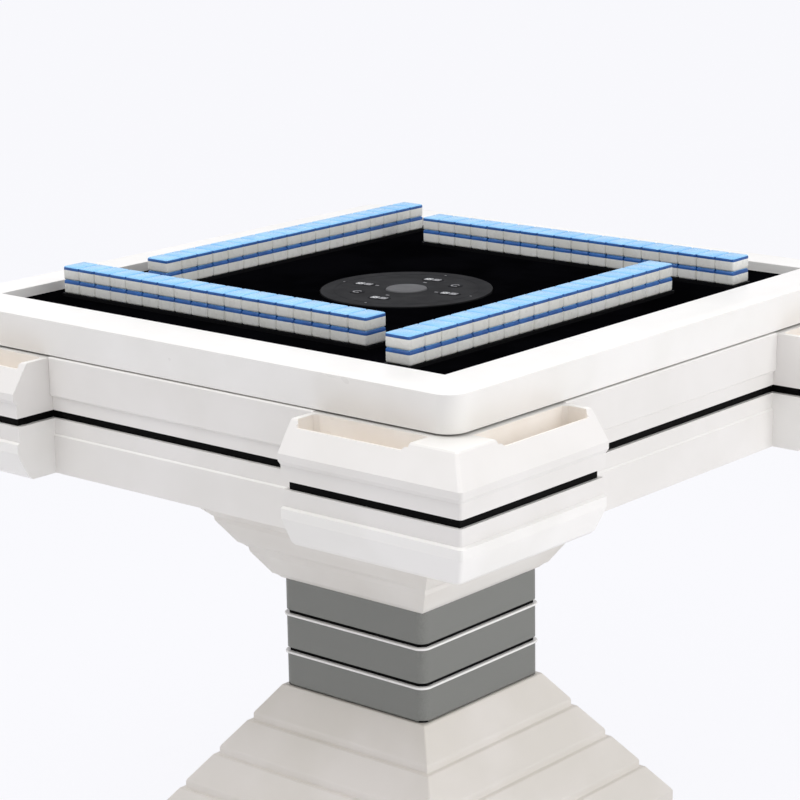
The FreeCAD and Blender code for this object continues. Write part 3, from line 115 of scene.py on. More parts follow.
def edit_all():
    """Enters edit mode with the whole of the active object selected."""
    bpy.ops.object.mode_set(mode="EDIT")
    bpy.ops.mesh.select_all(action="SELECT")


def leave_edit():
    """Goes back to object mode."""
    bpy.ops.object.mode_set(mode="OBJECT")


def face_outwards():
    """Turns every face outwards, which ends the shaping of a closed form."""
    bpy.ops.mesh.select_all(action="SELECT")
    bpy.ops.mesh.normals_make_consistent(inside=False)
    leave_edit()


print("picking helpers ready")

# %% [markdown]
# A finished piece sits at the origin with its place in its mesh, as the CAD nodes do, so that
# patterns in its own coordinates don't slide. It rides on the body of the node it stands for.

# %% Helpers that finish a piece
def settle(piece):
    """Puts an object's place, turn and size into its mesh."""
    pick(piece)
    bpy.ops.object.transform_apply(location=True, rotation=True, scale=True)
    return piece


def join(name, parts):
    """Makes one piece of several."""
    whole = pick(*parts)
    bpy.ops.object.join()
    whole.name = name
    return whole


def stand_for(piece, node):
    """The piece is shown in place of a CAD node and moves with that node's body."""
    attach(piece, body_of[node])
    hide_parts(node)
    return piece


print("finishing helpers ready")

# %% [markdown]
# ## Colours and nodes
# A colour is written as the hex value that one would read off a screen. The shader works in
# linear light, so one function turns it over. Another adds a node with its settings and links.
# A material starts from its colour, its roughness and, where the usual ones don't hold, its
# IOR and specular level.

# %% Colour and node helpers
def linear(hex_value):
    """sRGB hex text to linear RGBA."""
    def curve(channel):
        if channel <= 0.04045:
            return channel / 12.92
        return ((channel + 0.055) / 1.055) ** 2.4

    return [curve(int(hex_value[i:i + 2], 16) / 255.0) for i in (1, 3, 5)] + [1.0]


def add_node(material, kind, settings=None, inputs=None, links=None):
    """Adds a node: settings are its properties, inputs its socket values, links its feeds."""
    tree = material.node_tree
    node = tree.nodes.new(kind)
    for key, value in (settings or {}).items():
        setattr(node, key, value)
    for key, value in (inputs or {}).items():
        node.inputs[key].default_value = value
    for key, socket in (links or {}).items():
        tree.links.new(socket, node.inputs[key])
    return node


def new_material(name, hex_value, roughness, metallic=0.0, ior=None, specular=None):
    """A Principled material and its shader, ready for patterns."""
    material = bpy.data.materials.new(name)
    material.use_nodes = True
    shader = material.node_tree.nodes["Principled BSDF"]
    shader.inputs["Base Color"].default_value = linear(hex_value)
    shader.inputs["Roughness"].default_value = roughness
    shader.inputs["Metallic"].default_value = metallic
    if ior is not None:
        shader.inputs["IOR"].default_value = ior
    if specular is not None:
        shader.inputs["Specular IOR Level"].default_value = specular
    material.diffuse_color = linear(hex_value)
    return material, shader


print("white is", linear("#FFFFFF"))

# %% [markdown]
# Every pattern starts from noise at a real size. A slow one lets the colour or the gloss drift,
# with soft steps, so that no contour line shows on a large face. A fine one is a grain, and its
# height goes to the bump.

# %% Pattern helpers
def per_metre(millimetres):
    """Noise scale whose features are about this many millimetres across."""
    return 1000.0 / millimetres


def grain(material, millimetres, detail=2.0):
    """Noise of a real size, in the piece's own coordinates."""
    place = add_node(material, "ShaderNodeTexCoord")
    noise = add_node(material, "ShaderNodeTexNoise",
                     inputs={"Scale": per_metre(millimetres), "Detail": detail},
                     links={"Vector": place.outputs["Object"]})
    return noise.outputs["Fac"]


def vary_colour(material, shader, light_hex, dark_hex, millimetres, detail=3.0):
    """Drifts the colour between two close tones over patches of a real size."""
    ramp = add_node(material, "ShaderNodeValToRGB",
                    links={"Fac": grain(material, millimetres, detail)})
    ramp.color_ramp.interpolation = "EASE"
    for stop, position, tone in zip(ramp.color_ramp.elements, (0.35, 0.65),
                                    (dark_hex, light_hex)):
        stop.position = position
        stop.color = linear(tone)
    material.node_tree.links.new(ramp.outputs["Color"], shader.inputs["Base Color"])


def vary_gloss(material, shader, low, high, millimetres):
    """Lets the roughness drift between two values, as handling and cleaning do."""
    span = add_node(material, "ShaderNodeMapRange",
                    settings={"interpolation_type": "SMOOTHERSTEP"},
                    inputs={"From Min": 0.1, "From Max": 0.9, "To Min": low, "To Max": high},
                    links={"Value": grain(material, millimetres, 1.0)})
    material.node_tree.links.new(span.outputs["Result"], shader.inputs["Roughness"])


def add_bump(material, shader, height_socket, depth_mm, strength=1.0):
    """Feeds a height pattern to the shader's normal, with a real depth."""
    bump = add_node(material, "ShaderNodeBump",
                    inputs={"Strength": strength, "Distance": depth_mm * mm},
                    links={"Height": height_socket})
    material.node_tree.links.new(bump.outputs["Normal"], shader.inputs["Normal"])


print("a 2 mm grain has scale", per_metre(2.0))

# %% [markdown]
# ## White moulded ABS
# The top frame is injection-moulded ABS from a polished tool. It is a clean, slightly warm white
# with a soft gloss. The tone drifts a little over patches as large as a hand, and the gloss
# over ones as long as a finger, as wiping leaves it, which keeps the white from looking flat.
# The casing and its trays are the same plastic from a satin tool, so they are a shade greyer
# and duller. Panels this large are never quite flat, so a very shallow wave, 70 mm long, bends
# the casing's highlights. The trays' pockets are polished, and their white is lighter and warmer
# than the satin: that is painted bounce light, which stands in for the light that the pockets'
# walls throw at each other.

# %% White ABS
ABS_IOR, COAT_IOR, MELAMINE_IOR, ACRYLIC_IOR = 1.52, 1.5, 1.55, 1.49
HAND, FINGERS = 140.0, 60.0
white_abs, shader = new_material("polished white ABS", "#F3F1ED", 0.30, ior=ABS_IOR)
vary_colour(white_abs, shader, "#F5F3EF", "#F0EEE9", HAND)
vary_gloss(white_abs, shader, 0.27, 0.34, FINGERS)
satin_abs, shader = new_material("satin white ABS", "#E9E6E2", 0.38, ior=ABS_IOR)
vary_colour(satin_abs, shader, "#EBE8E4", "#E6E3DE", HAND)
vary_gloss(satin_abs, shader, 0.35, 0.43, FINGERS)
add_bump(satin_abs, shader, grain(satin_abs, 70.0, 0.0), 0.02, 0.3)
# The pocket's lighter, warmer white is painted bounce light.
pocket_bounce_abs, shader = new_material("white ABS with painted bounce light, pocket", "#FAF4EC", 0.3,
                                  ior=ABS_IOR)
vary_colour(pocket_bounce_abs, shader, "#FCF7F0", "#F6EFE6", 90.0)
vary_gloss(pocket_bounce_abs, shader, 0.26, 0.36, 40.0)
print("made", white_abs.name, satin_abs.name, "and", pocket_bounce_abs.name)

# %% [markdown]
# The pedestal's covers are the same plastic with a warmer, stone-like tint and less polish,
# because it is sprayed with a satin coat. The spray's fine orange peel is about 1.5 mm across;
# it is drawn at 3 mm so that it shows at all. The neck and the casing's underside get the same
# coat in a lighter tone, which is painted bounce light for the shade of the casing. Their
# orange peel lies in that shade, where it would not show, so it has none.

# %% Satin coated ABS for the pedestal
stone_abs, shader = new_material("satin sprayed ABS", "#E7E2DA", 0.42, ior=COAT_IOR)
vary_colour(stone_abs, shader, "#E9E4DD", "#E2DDD4", 160.0)
vary_gloss(stone_abs, shader, 0.38, 0.48, FINGERS)
add_bump(stone_abs, shader, grain(stone_abs, 3.0), 0.03, 0.2)
# Lighter tone: painted bounce light on the neck and the casing's underside.
bounce_lit_abs, shader = new_material("sprayed ABS with painted bounce light", "#E9E6DF", 0.42, ior=COAT_IOR)
vary_colour(bounce_lit_abs, shader, "#EBE8E2", "#E5E1DA", 160.0)
vary_gloss(bounce_lit_abs, shader, 0.38, 0.48, FINGERS)
print("made", stone_abs.name, "and", bounce_lit_abs.name)

# %% [markdown]
# The column's sleeves are sprayed a metallic grey: a fine flake under a satin lacquer. The
# flake gives tiny light and dark specks, about 0.4 mm across on the real coat and drawn at
# 1.2 mm here, and the lacquer a broad sheen.

# %% Metallic grey spray for the column
grey_spray, shader = new_material("metallic grey spray on ABS", "#7B7C77", 0.42, 0.15)
vary_colour(grey_spray, shader, "#80817C", "#757671", 1.2, 1.0)
add_bump(grey_spray, shader, grain(grey_spray, 2.5), 0.02, 0.5)
shader.inputs["Coat Weight"].default_value = 0.25
shader.inputs["Coat Roughness"].default_value = 0.3
print("made", grey_spray.name)

# %% [markdown]
# The trim rings are the same white ABS, highly polished. The recessed band between the casing's
# halves is black ABS straight from a spark-eroded tool, so it has a fine dull grain that sends
# hardly any light back out of the slot.

# %% Trim ring and black band
ring_abs, shader = new_material("bright white ABS trim", "#F6F5F2", 0.22, ior=ABS_IOR)
vary_gloss(ring_abs, shader, 0.18, 0.28, 20.0)
black_abs, shader = new_material("grained black ABS", "#070707", 0.6, specular=0.05)
add_bump(black_abs, shader, grain(black_abs, 0.8), 0.03, 0.6)
vary_gloss(black_abs, shader, 0.52, 0.68, 30.0)
print("made", ring_abs.name, black_abs.name)

# %% [markdown]
# ## Black playing cloth
# The cloth is a short, dense polyester pile stretched over the board. Its fibres trap nearly
# all the light that falls between them, so it has almost no shine and is near to black from
# every side. Only slow patches, where hands have brushed the pile, are a shade lighter. The
# tufts are about 0.5 mm; they are drawn at 1.5 mm so that they show at this distance, in rows
# that are about two tufts apart.

# %% Playing cloth
TUFT = 1.5
cloth, shader = new_material("black polyester pile cloth", "#040405", 0.95, specular=0.0)
vary_colour(cloth, shader, "#060608", "#030304", 90.0, 4.0)
place = add_node(cloth, "ShaderNodeTexCoord")
rows = add_node(cloth, "ShaderNodeTexWave",
                settings={"wave_type": "BANDS", "bands_direction": "X"},
                inputs={"Scale": per_metre(TUFT) * 0.15, "Distortion": 1.5, "Detail": 2.0},
                links={"Vector": place.outputs["Object"]})
both = add_node(cloth, "ShaderNodeMath", settings={"operation": "ADD"},
                links={0: rows.outputs["Fac"], 1: grain(cloth, TUFT)})
add_bump(cloth, shader, both.outputs["Value"], 0.2, 0.6)
print("made", cloth.name)

# %% [markdown]
# ## Tiles
# A tile is pressed melamine: a milky white body with a bonded blue back. Melamine lets a
# little light in, so it has some subsurface glow and a smooth, slightly waxy polish. The back's
# blue is made in two tones: a light one for its top, which is painted light, and a deeper one
# for its sides, which is painted shade.

# %% Tile materials
tile_white, shader = new_material("pressed white melamine", "#F4F4EE", 0.30,
                                  ior=MELAMINE_IOR)
vary_colour(tile_white, shader, "#F6F6F1", "#F0F0E9", 45.0)
vary_gloss(tile_white, shader, 0.22, 0.36, 12.0)
shader.inputs["Subsurface Weight"].default_value = 0.15
shader.inputs["Subsurface Radius"].default_value = (0.004, 0.004, 0.0035)
shader.inputs["Subsurface Scale"].default_value = 0.5
# The back's top: the blue lightened as painted light.
tile_blue_lit, shader = new_material("pressed blue melamine", "#86C6F4", 0.25, ior=MELAMINE_IOR)
vary_colour(tile_blue_lit, shader, "#8ECBF6", "#7CBEF0", 35.0)
vary_gloss(tile_blue_lit, shader, 0.2, 0.34, 12.0)
# The back's sides: the blue darkened as painted shade.
tile_blue_shaded, shader = new_material("blue melamine, painted shade", "#11549E", 0.4)
vary_colour(tile_blue_shaded, shader, "#155BA6", "#0E4C93", 15.0)
vary_gloss(tile_blue_shaded, shader, 0.34, 0.48, 6.0)
print("made", tile_white.name, tile_blue_lit.name, tile_blue_shaded.name)

# %% [markdown]
# ## Console
# The console's face is charcoal acrylic with a fine anti-glare front, so it is smooth and even
# and shows hardly any of the room. The cap in the middle is a lighter, satin moulding. The
# marks are screen ink: one die of each pair is pale, and the rest is grey.

# %% Console materials
ANTI_GLARE = 0.01
acrylic, shader = new_material("charcoal acrylic", "#262627", 0.5, ior=ACRYLIC_IOR,
                               specular=ANTI_GLARE)
vary_colour(acrylic, shader, "#282829", "#242425", 60.0)
vary_gloss(acrylic, shader, 0.46, 0.56, 25.0)
acrylic_dark, shader = new_material("dark back print under acrylic", "#1F1F21", 0.5,
                                    specular=ANTI_GLARE)
vary_gloss(acrylic_dark, shader, 0.46, 0.56, 25.0)
cap_grey, shader = new_material("satin grey ABS cap", "#535354", 0.45, specular=0.08)
vary_colour(cap_grey, shader, "#575758", "#4E4E4F", 20.0)
vary_gloss(cap_grey, shader, 0.40, 0.52, 10.0)
ink, shader = new_material("pale screen ink", "#BEBFC0", 0.5)
vary_colour(ink, shader, "#C3C4C5", "#B6B7B8", 5.0)
faint_ink, shader = new_material("grey screen ink", "#8E8E90", 0.5)
vary_colour(faint_ink, shader, "#949496", "#868688", 5.0)
print("made", acrylic.name, cap_grey.name, ink.name, faint_ink.name)

# %% [markdown]
# ## Inside the casing
# The working parts have ordinary engineering finishes. Metals reflect in their own colour.
# Zinc plate and turned brass are bright, with a gloss that drifts over finger marks; powder
# coat and rubber have a fine dull grain; the anodised lift plates are matt so that they
# vanish beside the cloth.

# %% Metals and rubber
zinc, shader = new_material("zinc plated steel", "#B9BDC2", 0.36, 1.0)
vary_colour(zinc, shader, "#C3C6C9", "#AEB3BA", 14.0)
vary_gloss(zinc, shader, 0.28, 0.46, 9.0)
powder, shader = new_material("black powder coat on steel", "#1B1B1D", 0.55)
add_bump(powder, shader, grain(powder, 1.6), 0.06, 0.6)
vary_gloss(powder, shader, 0.48, 0.62, 30.0)
anodised, shader = new_material("matt black anodised aluminium", "#08080A", 0.6, 0.3,
                                specular=0.1)
vary_gloss(anodised, shader, 0.54, 0.66, 18.0)
brass, shader = new_material("turned brass", "#B48A45", 0.3, 1.0)
vary_gloss(brass, shader, 0.24, 0.4, 4.0)
rubber, shader = new_material("black rubber", "#141414", 0.8)
add_bump(rubber, shader, grain(rubber, 1.2), 0.08, 0.7)
vary_gloss(rubber, shader, 0.72, 0.88, 15.0)
print("metals and rubber made")

# %% [markdown]
# Nylon gears let a little light in, so they look milky. The drum's polypropylene has a coarse
# dull grain, and the circuit board's solder mask is a glossy green lacquer.

# %% Plastics and circuit board
nylon, shader = new_material("natural nylon", "#D9D4C4", 0.45)
vary_colour(nylon, shader, "#DDD8C9", "#D0CAB8", 10.0)
shader.inputs["Subsurface Weight"].default_value = 0.1
shader.inputs["Subsurface Scale"].default_value = 0.5
drum_grey, shader = new_material("grained dark grey polypropylene", "#3A3B3D", 0.55)
add_bump(drum_grey, shader, grain(drum_grey, 1.2), 0.05, 0.6)
vary_colour(drum_grey, shader, "#3E3F41", "#343537", 70.0)
solder_mask, shader = new_material("green solder mask", "#1E5A34", 0.35)
vary_colour(solder_mask, shader, "#226339", "#1A502E", 4.0)
print("made", nylon.name, drum_grey.name, solder_mask.name)

# %% [markdown]
# The table board is birch plywood. Its fibres run along X, so the noise is squeezed twelve
# times across them. The board's round mouth is painted black, out to 121 mm from the middle,
# so that no pale edge shows round the console: a mask compares each spot's distance from the
# middle with that reach.

# %% Plywood
PAINTED_REACH = 0.121
plywood, shader = new_material("birch plywood", "#B9986A", 0.6)
place = add_node(plywood, "ShaderNodeTexCoord")
stretch = add_node(plywood, "ShaderNodeMapping", inputs={"Scale": (1.0, 12.0, 12.0)},
                   links={"Vector": place.outputs["Object"]})
fibres = add_node(plywood, "ShaderNodeTexNoise",
                  inputs={"Scale": per_metre(60.0), "Detail": 6.0},
                  links={"Vector": stretch.outputs["Vector"]})
ramp = add_node(plywood, "ShaderNodeValToRGB", links={"Fac": fibres.outputs["Fac"]})
ramp.color_ramp.elements[0].color = linear("#9C7B4E")
ramp.color_ramp.elements[1].color = linear("#CDAE80")
flat_place = add_node(plywood, "ShaderNodeVectorMath", settings={"operation": "MULTIPLY"},
                      inputs={1: (1.0, 1.0, 0.0)}, links={0: place.outputs["Object"]})
reach = add_node(plywood, "ShaderNodeVectorMath", settings={"operation": "LENGTH"},
                 links={0: flat_place.outputs["Vector"]})
unpainted = add_node(plywood, "ShaderNodeMath", settings={"operation": "GREATER_THAN"},
                     inputs={1: PAINTED_REACH}, links={0: reach.outputs["Value"]})
paint = add_node(plywood, "ShaderNodeMixRGB", inputs={"Color1": linear("#060606")},
                 links={"Fac": unpainted.outputs["Value"], "Color2": ramp.outputs["Color"]})
plywood.node_tree.links.new(paint.outputs["Color"], shader.inputs["Base Color"])
print("made", plywood.name)

# %% [markdown]
# ## Put the finishes on the solids
# Each solid that keeps its CAD form gets its finish by the name of its material slot. White
# plastic is the polished kind on the top frame and the satin kind elsewhere, and the covers of
# the neck and the casing's underside have the lighter coat, painted bounce light in the shade
# under the casing.

# %% Finish the CAD nodes
finish_of_slot = {
    "rubber_black": rubber, "steel_black": powder, "steel_zinc": zinc,
    "pearl_plastic": stone_abs, "taupe_plastic": grey_spray, "ring_plastic": ring_abs,
    "white_plastic": white_abs, "black_plastic": black_abs, "board_wood": plywood,
    "black_cloth": cloth, "drum_plastic": drum_grey, "console_gloss": acrylic,
    "console_cap": cap_grey, "circuit_board": solder_mask, "brass": brass,
    "key_plastic": acrylic_dark, "lift_aluminium": anodised, "gear_plastic": nylon,
    "tile_plastic": tile_white,
}
for node_name, node in nodes.items():
    finish = finish_of_slot[slot_of[node_name]]
    if finish is white_abs and node_name != "top_frame":
        finish = satin_abs
    # The lighter coat is painted bounce light under the casing.
    if node_name in ("neck_cover", "soffit_cover"):
        finish = bounce_lit_abs
    node.data.materials.clear()
    node.data.materials.append(finish)
print("finished", len(nodes), "nodes")

# %% [markdown]
# ## Round the mouldings
# A tool's corners are rounded, and those small radii are what catches the light along every
# edge of the casing. The CAD solids have sharp steps, so a copy of each is merged into clean
# faces, its edges are bevelled by a real radius, and the copy is shown in the solid's place.
# After a bevel the normals are weighted by face size, so that large faces shade flat and only
# the radii look round.

# %% Shading and edge helpers
def even_shading(piece, degrees=38.0):
    """Smooth shading over the small radii, with every large face kept flat."""
    pick(piece)
    bpy.ops.object.shade_smooth_by_angle(angle=math.radians(degrees))
    weighing = piece.modifiers.new("large faces lead", "WEIGHTED_NORMAL")
    weighing.weight = 80
    weighing.keep_sharp = True
    bpy.ops.object.modifier_apply(modifier=weighing.name)


def round_edges(piece, radius_mm, segments, sharp_degrees, miter="MITER_ARC"):
    """Bevels the edges that are sharper than an angle by a real radius."""
    pick(piece)
    bevel = piece.modifiers.new("tool radius", "BEVEL")
    bevel.width = radius_mm * mm
    bevel.segments = segments
    bevel.limit_method = "ANGLE"
    bevel.angle_limit = math.radians(sharp_degrees)
    bevel.use_clamp_overlap = True
    bevel.miter_outer = miter
    bpy.ops.object.modifier_apply(modifier=bevel.name)


print("edge helpers ready")

# %% [markdown]
# A square moulding's corner edges lie on the diagonals of its plan, and they have a larger
# radius than the rest. They are picked by that before the other edges are bevelled.

# %% Copies with rounded edges
def round_hips(piece, radius_mm, inner_mm):
    """Rounds the corner edges that lie further out than inner_mm from the middle."""
    pick(piece)
    bpy.ops.object.mode_set(mode="EDIT")
    bpy.ops.mesh.select_mode(type="EDGE")
    bpy.ops.mesh.select_all(action="DESELECT")
    bpy.ops.object.mode_set(mode="OBJECT")
    spots = [vertex.co for vertex in piece.data.vertices]
    for edge in piece.data.edges:
        ends = [spots[index] for index in edge.vertices]
        on_diagonal = all(abs(abs(v.x) - abs(v.y)) < 0.3 * mm for v in ends)
        edge.select = (on_diagonal and all(abs(v.x) > inner_mm * mm for v in ends)
                       and abs(ends[0].z - ends[1].z) > 1.0 * mm)
    bpy.ops.object.mode_set(mode="EDIT")
    bpy.ops.mesh.bevel(offset=radius_mm * mm, segments=4, affect="EDGES", clamp_overlap=True)
    leave_edit()


def rounded_copy(node_name, radius_mm, segments=3, sharp_degrees=20.0, hips=None):
    """A copy of a CAD node with every sharp edge rounded, shown in the node's place."""
    piece = bpy.data.objects.new(node_name + "_moulding", nodes[node_name].data.copy())
    bpy.context.scene.collection.objects.link(piece)
    pick(piece)
    edit_all()
    bpy.ops.mesh.remove_doubles(threshold=0.02 * mm)
    bpy.ops.mesh.dissolve_limited(angle_limit=math.radians(1.0))
    face_outwards()
    if hips:
        round_hips(piece, *hips)
    round_edges(piece, radius_mm, segments, sharp_degrees)
    even_shading(piece)
    return stand_for(piece, node_name)


print("rounding helpers ready")

# %% [markdown]
# Each moulding has its own edge radius in millimetres. The casing and the trays also have
# their corner edges rounded, given as a radius and a distance from the middle.

# %% Round the casing, trays, covers, sleeves and rings
TRAYS = ["corner_tray_" + corner
         for corner in ("front_right", "back_right", "back_left", "front_left")]
SLEEVES = ["column_sleeve_" + part for part in ("upper", "middle", "lower")]
mouldings = {
    "lower_casing": (1.0, (4.5, 470.0)), "side_panels": (0.8, None),
    **{tray: (0.7, (4.5, 455.0)) for tray in TRAYS},
    "neck_cover": (0.8, None), "soffit_cover": (1.0, None), "base_cover": (2.0, None),
    **{sleeve: (0.4, None) for sleeve in SLEEVES}, "trim_rings": (1.4, None),
}
pieces = {}
for node_name, (radius, hips) in mouldings.items():
    pieces[node_name] = rounded_copy(node_name, radius, hips=hips)
    print(node_name, len(pieces[node_name].data.polygons), "faces")

# %% [markdown]
# The casing's ledges, the trays' flat tops and the bellies under the trays get the polished
# white of the top frame, which is lighter than the satin. On the faces that look up the lighter
# tone is painted light, and on the bellies, which look down, it is painted bounce light. The
# ledges are the faces that look up, on the trays only those that are level. The bellies are
# the casing's faces below the trays' ledge that stand out past the sides. The pockets' walls
# and floors get the warm white, which is painted bounce light: they are the faces inside each
# pocket's opening, apart from the tray's outer slope. A slope here is the upward part of a
# face's normal, which is 1 for a level face and 0 for an upright one.

# %% Painted light on the ledges, bellies and pockets
LEDGE_SLOPE, LEVEL_SLOPE = 0.4, 0.9
POCKET_MARGIN, TRAY_TOP = 5.0, 1.5
belly_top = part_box("lower_casing")[0][2] + 51.0 * mm
side_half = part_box("side_panels")[1][0] + 2.0 * mm
pockets = [entry["box_m"] for entry in frame["record"]["physics"]["openings"]
           if "pocket" in entry["name"]]


def high_z(piece):
    """Height of a piece's highest point."""
    return max(vertex.co.z for vertex in piece.data.vertices)


def in_pocket(centre, normal):
    """True for the faces of a pocket's walls and floor."""
    slopes_out = 0.03 < normal.z < 0.95 and centre.x * normal.x + centre.y * normal.y > 0
    margin = POCKET_MARGIN * mm
    inside = any(all(low[i] - margin < centre[i] < high[i] + margin for i in range(3))
                 for low, high in pockets)
    return inside and not slopes_out


for node_name in TRAYS + ["side_panels", "lower_casing"]:
    piece = pieces[node_name]
    piece.data.materials.append(white_abs)
    piece.data.materials.append(pocket_bounce_abs)
    ledge_slope = LEVEL_SLOPE if node_name in TRAYS else LEDGE_SLOPE
    pocket_top = high_z(piece) - TRAY_TOP * mm
    tally = [0, 0]
    # Index 2 is the pockets' painted bounce light, index 1 the lighter white of painted light.
    for face in piece.data.polygons:
        centre, normal = face.center, face.normal
        if centre.z < pocket_top and in_pocket(centre, normal):
            face.material_index = 2
            tally[1] += 1
        elif normal.z > ledge_slope or (node_name == "lower_casing" and centre.z < belly_top
                                        and max(abs(centre.x), abs(centre.y)) > side_half):
            face.material_index = 1
            tally[0] += 1
    print(node_name, tally[0], "ledge faces", tally[1], "pocket faces")

# %% [markdown]
# The slot between the casing's halves is a little wider than the solids leave it, because the
# lower half's rim is rolled over. Its topmost faces are moved down by three millimetres.

# %% Widen the dark slot
def shift_faces(piece, wanted, rise_mm):
    """Moves the wanted faces straight up, or down where the rise is negative."""
    edit_faces(piece, wanted)
    bpy.ops.mesh.select_mode(type="VERT")
    bpy.ops.transform.translate(value=(0, 0, rise_mm * mm))
    leave_edit()


RIM_BAND, SLOT_DROP = 2.5, 3.0
lower = pieces["lower_casing"]
rim_height = high_z(lower)
shift_faces(lower, lambda centre, normal: centre.z > rim_height - RIM_BAND * mm, -SLOT_DROP)
print("slot now starts at", round(high_z(lower), 4))

# %% [markdown]
# Each sleeve of the column ends in a narrow foot that is set back, and the foot is painted
# black as painted shade in that recess, which draws a dark line over every white ring. The step
# over the foot is first moved up by 1.8 mm, which makes the dark line as wide as on the real
# column. The foot's faces are then found by their height and how far out they stand, and get
# the black plastic as a second finish, which is the painted shade.

# %% Painted shade on the sleeves' feet
FOOT, STEP_RISE, SET_BACK = 5.0, 1.8, 1.0
for node_name in SLEEVES:
    sleeve = pieces[node_name]
    low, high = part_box(node_name)
    sleeve.data.materials.append(black_abs)
    shift_faces(sleeve, lambda centre, normal: normal.z < -0.2
                and low[2] + 1.5 * mm < centre.z < low[2] + FOOT * mm, STEP_RISE)
    foot_top = low[2] + (FOOT + 0.1) * mm
    foot_half = high[0] - SET_BACK * mm
    count = 0
    # The black on the foot's faces is painted shade.
    for face in sleeve.data.polygons:
        reach = max(abs(face.center.x), abs(face.center.y))
        if face.center.z < foot_top and face.normal.z < 0.5 and reach < foot_half:
            face.material_index = 1
            count += 1
    print(node_name, count, "black faces")

# %% [markdown]
# ## The top frame
# The frame round the cloth is one large moulding: a square with rounded corners whose side
# leans out as it rises to a crisp edge, a gentle slope above that, and a well for the board. It
# starts as a plane with rounded corners, extruded level by level and scaled to each width.
# The well, the opening under it and the hollow in the rim are cut out by other blocks.

# %% Blocks built level by level
def level_block(name, levels, corner_mm=0.0):
    """A square block from (half width, height) levels in millimetres, foot first."""
    half, height = levels[0]
    bpy.ops.object.select_all(action="DESELECT")
    bpy.ops.mesh.primitive_plane_add(size=2 * half * mm, location=(0, 0, height * mm))
    block = bpy.context.object
    block.name = name
    settle(block)
    edit_all()
    if corner_mm:
        bpy.ops.mesh.bevel(offset=corner_mm * mm, segments=8, affect="VERTICES")
        bpy.ops.mesh.select_all(action="SELECT")
    for next_half, next_height in levels[1:]:
        rise = (next_height - height) * mm
        bpy.ops.mesh.extrude_region_move(TRANSFORM_OT_translate={"value": (0, 0, rise)})
        grow = next_half / half
        bpy.ops.transform.resize(value=(grow, grow, 1.0), center_override=(0, 0, 0))
        half, height = next_half, next_height
    face_outwards()
    return block


def cut_out(piece, tool):
    """Takes one solid out of another and removes the tool."""
    pick(piece)
    cutting = piece.modifiers.new("cut", "BOOLEAN")
    cutting.operation = "DIFFERENCE"
    cutting.solver = "EXACT"
    cutting.object = tool
    bpy.ops.object.modifier_apply(modifier=cutting.name)
    bpy.data.objects.remove(tool)


print("block helpers ready")

# %% [markdown]
# All sizes are in millimetres. The side leans out by LEAN and its crisp edge lies EDGE_DROP
# under the top, from where the slope runs in by SLOPE. The hollow leaves a side WALL, a
# millimetre thicker at its upper end, and TOP_WALL over it. The heart is the solid middle part
# that the hollow leaves standing, and the board rests on the SEAT round the throat.

# %% Model the top frame
LEAN, EDGE_DROP, SLOPE, CORNER, SEAT = 10.5, 3.6, 19.0, 26.0, 16.0
WALL, TOP_WALL, HEART_HALF, BOARD_GAP = 5.0, 9.0, 413.0, 0.3
low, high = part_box("top_frame")
rim_low, rim_top, rim_half = low[2] / mm, high[2] / mm, high[0] / mm
well_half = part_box("table_board")[1][0] / mm + BOARD_GAP
well_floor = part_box("table_board")[0][2] / mm
throat_half = well_half - SEAT
foot_half = rim_half - LEAN
rim = level_block("top_frame_moulding", [
    (foot_half, rim_low), (rim_half, rim_top - EDGE_DROP), (rim_half - SLOPE, rim_top)],
    corner_mm=CORNER)
hollow = level_block("rim_hollow", [
    (foot_half - WALL, rim_low - 0.5), (rim_half - WALL - 1.0, rim_top - TOP_WALL)],
    corner_mm=CORNER - WALL)
heart = level_block("rim_heart", [(HEART_HALF, rim_low - 5.0), (HEART_HALF, rim_top)])
cut_out(hollow, heart)
cut_out(rim, hollow)
cut_out(rim, level_block("well", [(well_half, well_floor), (well_half, rim_top + 20.0)]))
cut_out(rim, level_block("throat", [(throat_half, rim_low - 20.0), (throat_half, rim_top)]))
round_edges(rim, radius_mm=0.8, segments=2, sharp_degrees=30.0, miter="MITER_SHARP")
even_shading(rim, 30.0)
rim.data.materials.append(white_abs)
stand_for(rim, "top_frame")

# %% [markdown]
# ## The tiles
# One tile is modelled and copied. It starts as a block of the real size, its edges are
# rounded, and it is cut across where the blue back is bonded to the white body. The back's
# faces that look up get the lighter blue, painted light, and its other faces the deeper blue,
# painted shade.

# %% Model one tile
TILE_WIDTH, TILE_LENGTH, TILE_THICK = 29.7, 38.2, 18.4
TILE_ROUND, BACK_THICK, BOND = 2.8, 5.0, 0.25
body_top = TILE_THICK - BACK_THICK
bpy.ops.object.select_all(action="DESELECT")
bpy.ops.mesh.primitive_cube_add(size=1.0, location=(0.0, 0.0, TILE_THICK / 2 * mm))
tile = bpy.context.object
tile.name = "tile_pattern"
tile.scale = (TILE_WIDTH * mm, TILE_LENGTH * mm, TILE_THICK * mm)
settle(tile)
edit_all()
bpy.ops.mesh.bevel(offset=TILE_ROUND * mm, segments=3, affect="EDGES")
for height in (body_top, body_top - BOND):
    bpy.ops.mesh.select_all(action="SELECT")
    bpy.ops.mesh.bisect(plane_co=(0, 0, height * mm), plane_no=(0, 0, 1))
leave_edit()
for finish in (tile_white, tile_blue_lit, tile_blue_shaded):
    tile.data.materials.append(finish)
# The back's faces are split by which way they look: painted light on top, painted shade on the
# sides.
for face in tile.data.polygons:
    if face.center.z < body_top * mm:
        face.material_index = 0
    else:
        face.material_index = 1 if face.normal.z > 0.6 else 2
pick(tile)
bpy.ops.object.shade_smooth_by_angle(angle=math.radians(40.0))
print("one tile has", len(tile.data.polygons), "faces")
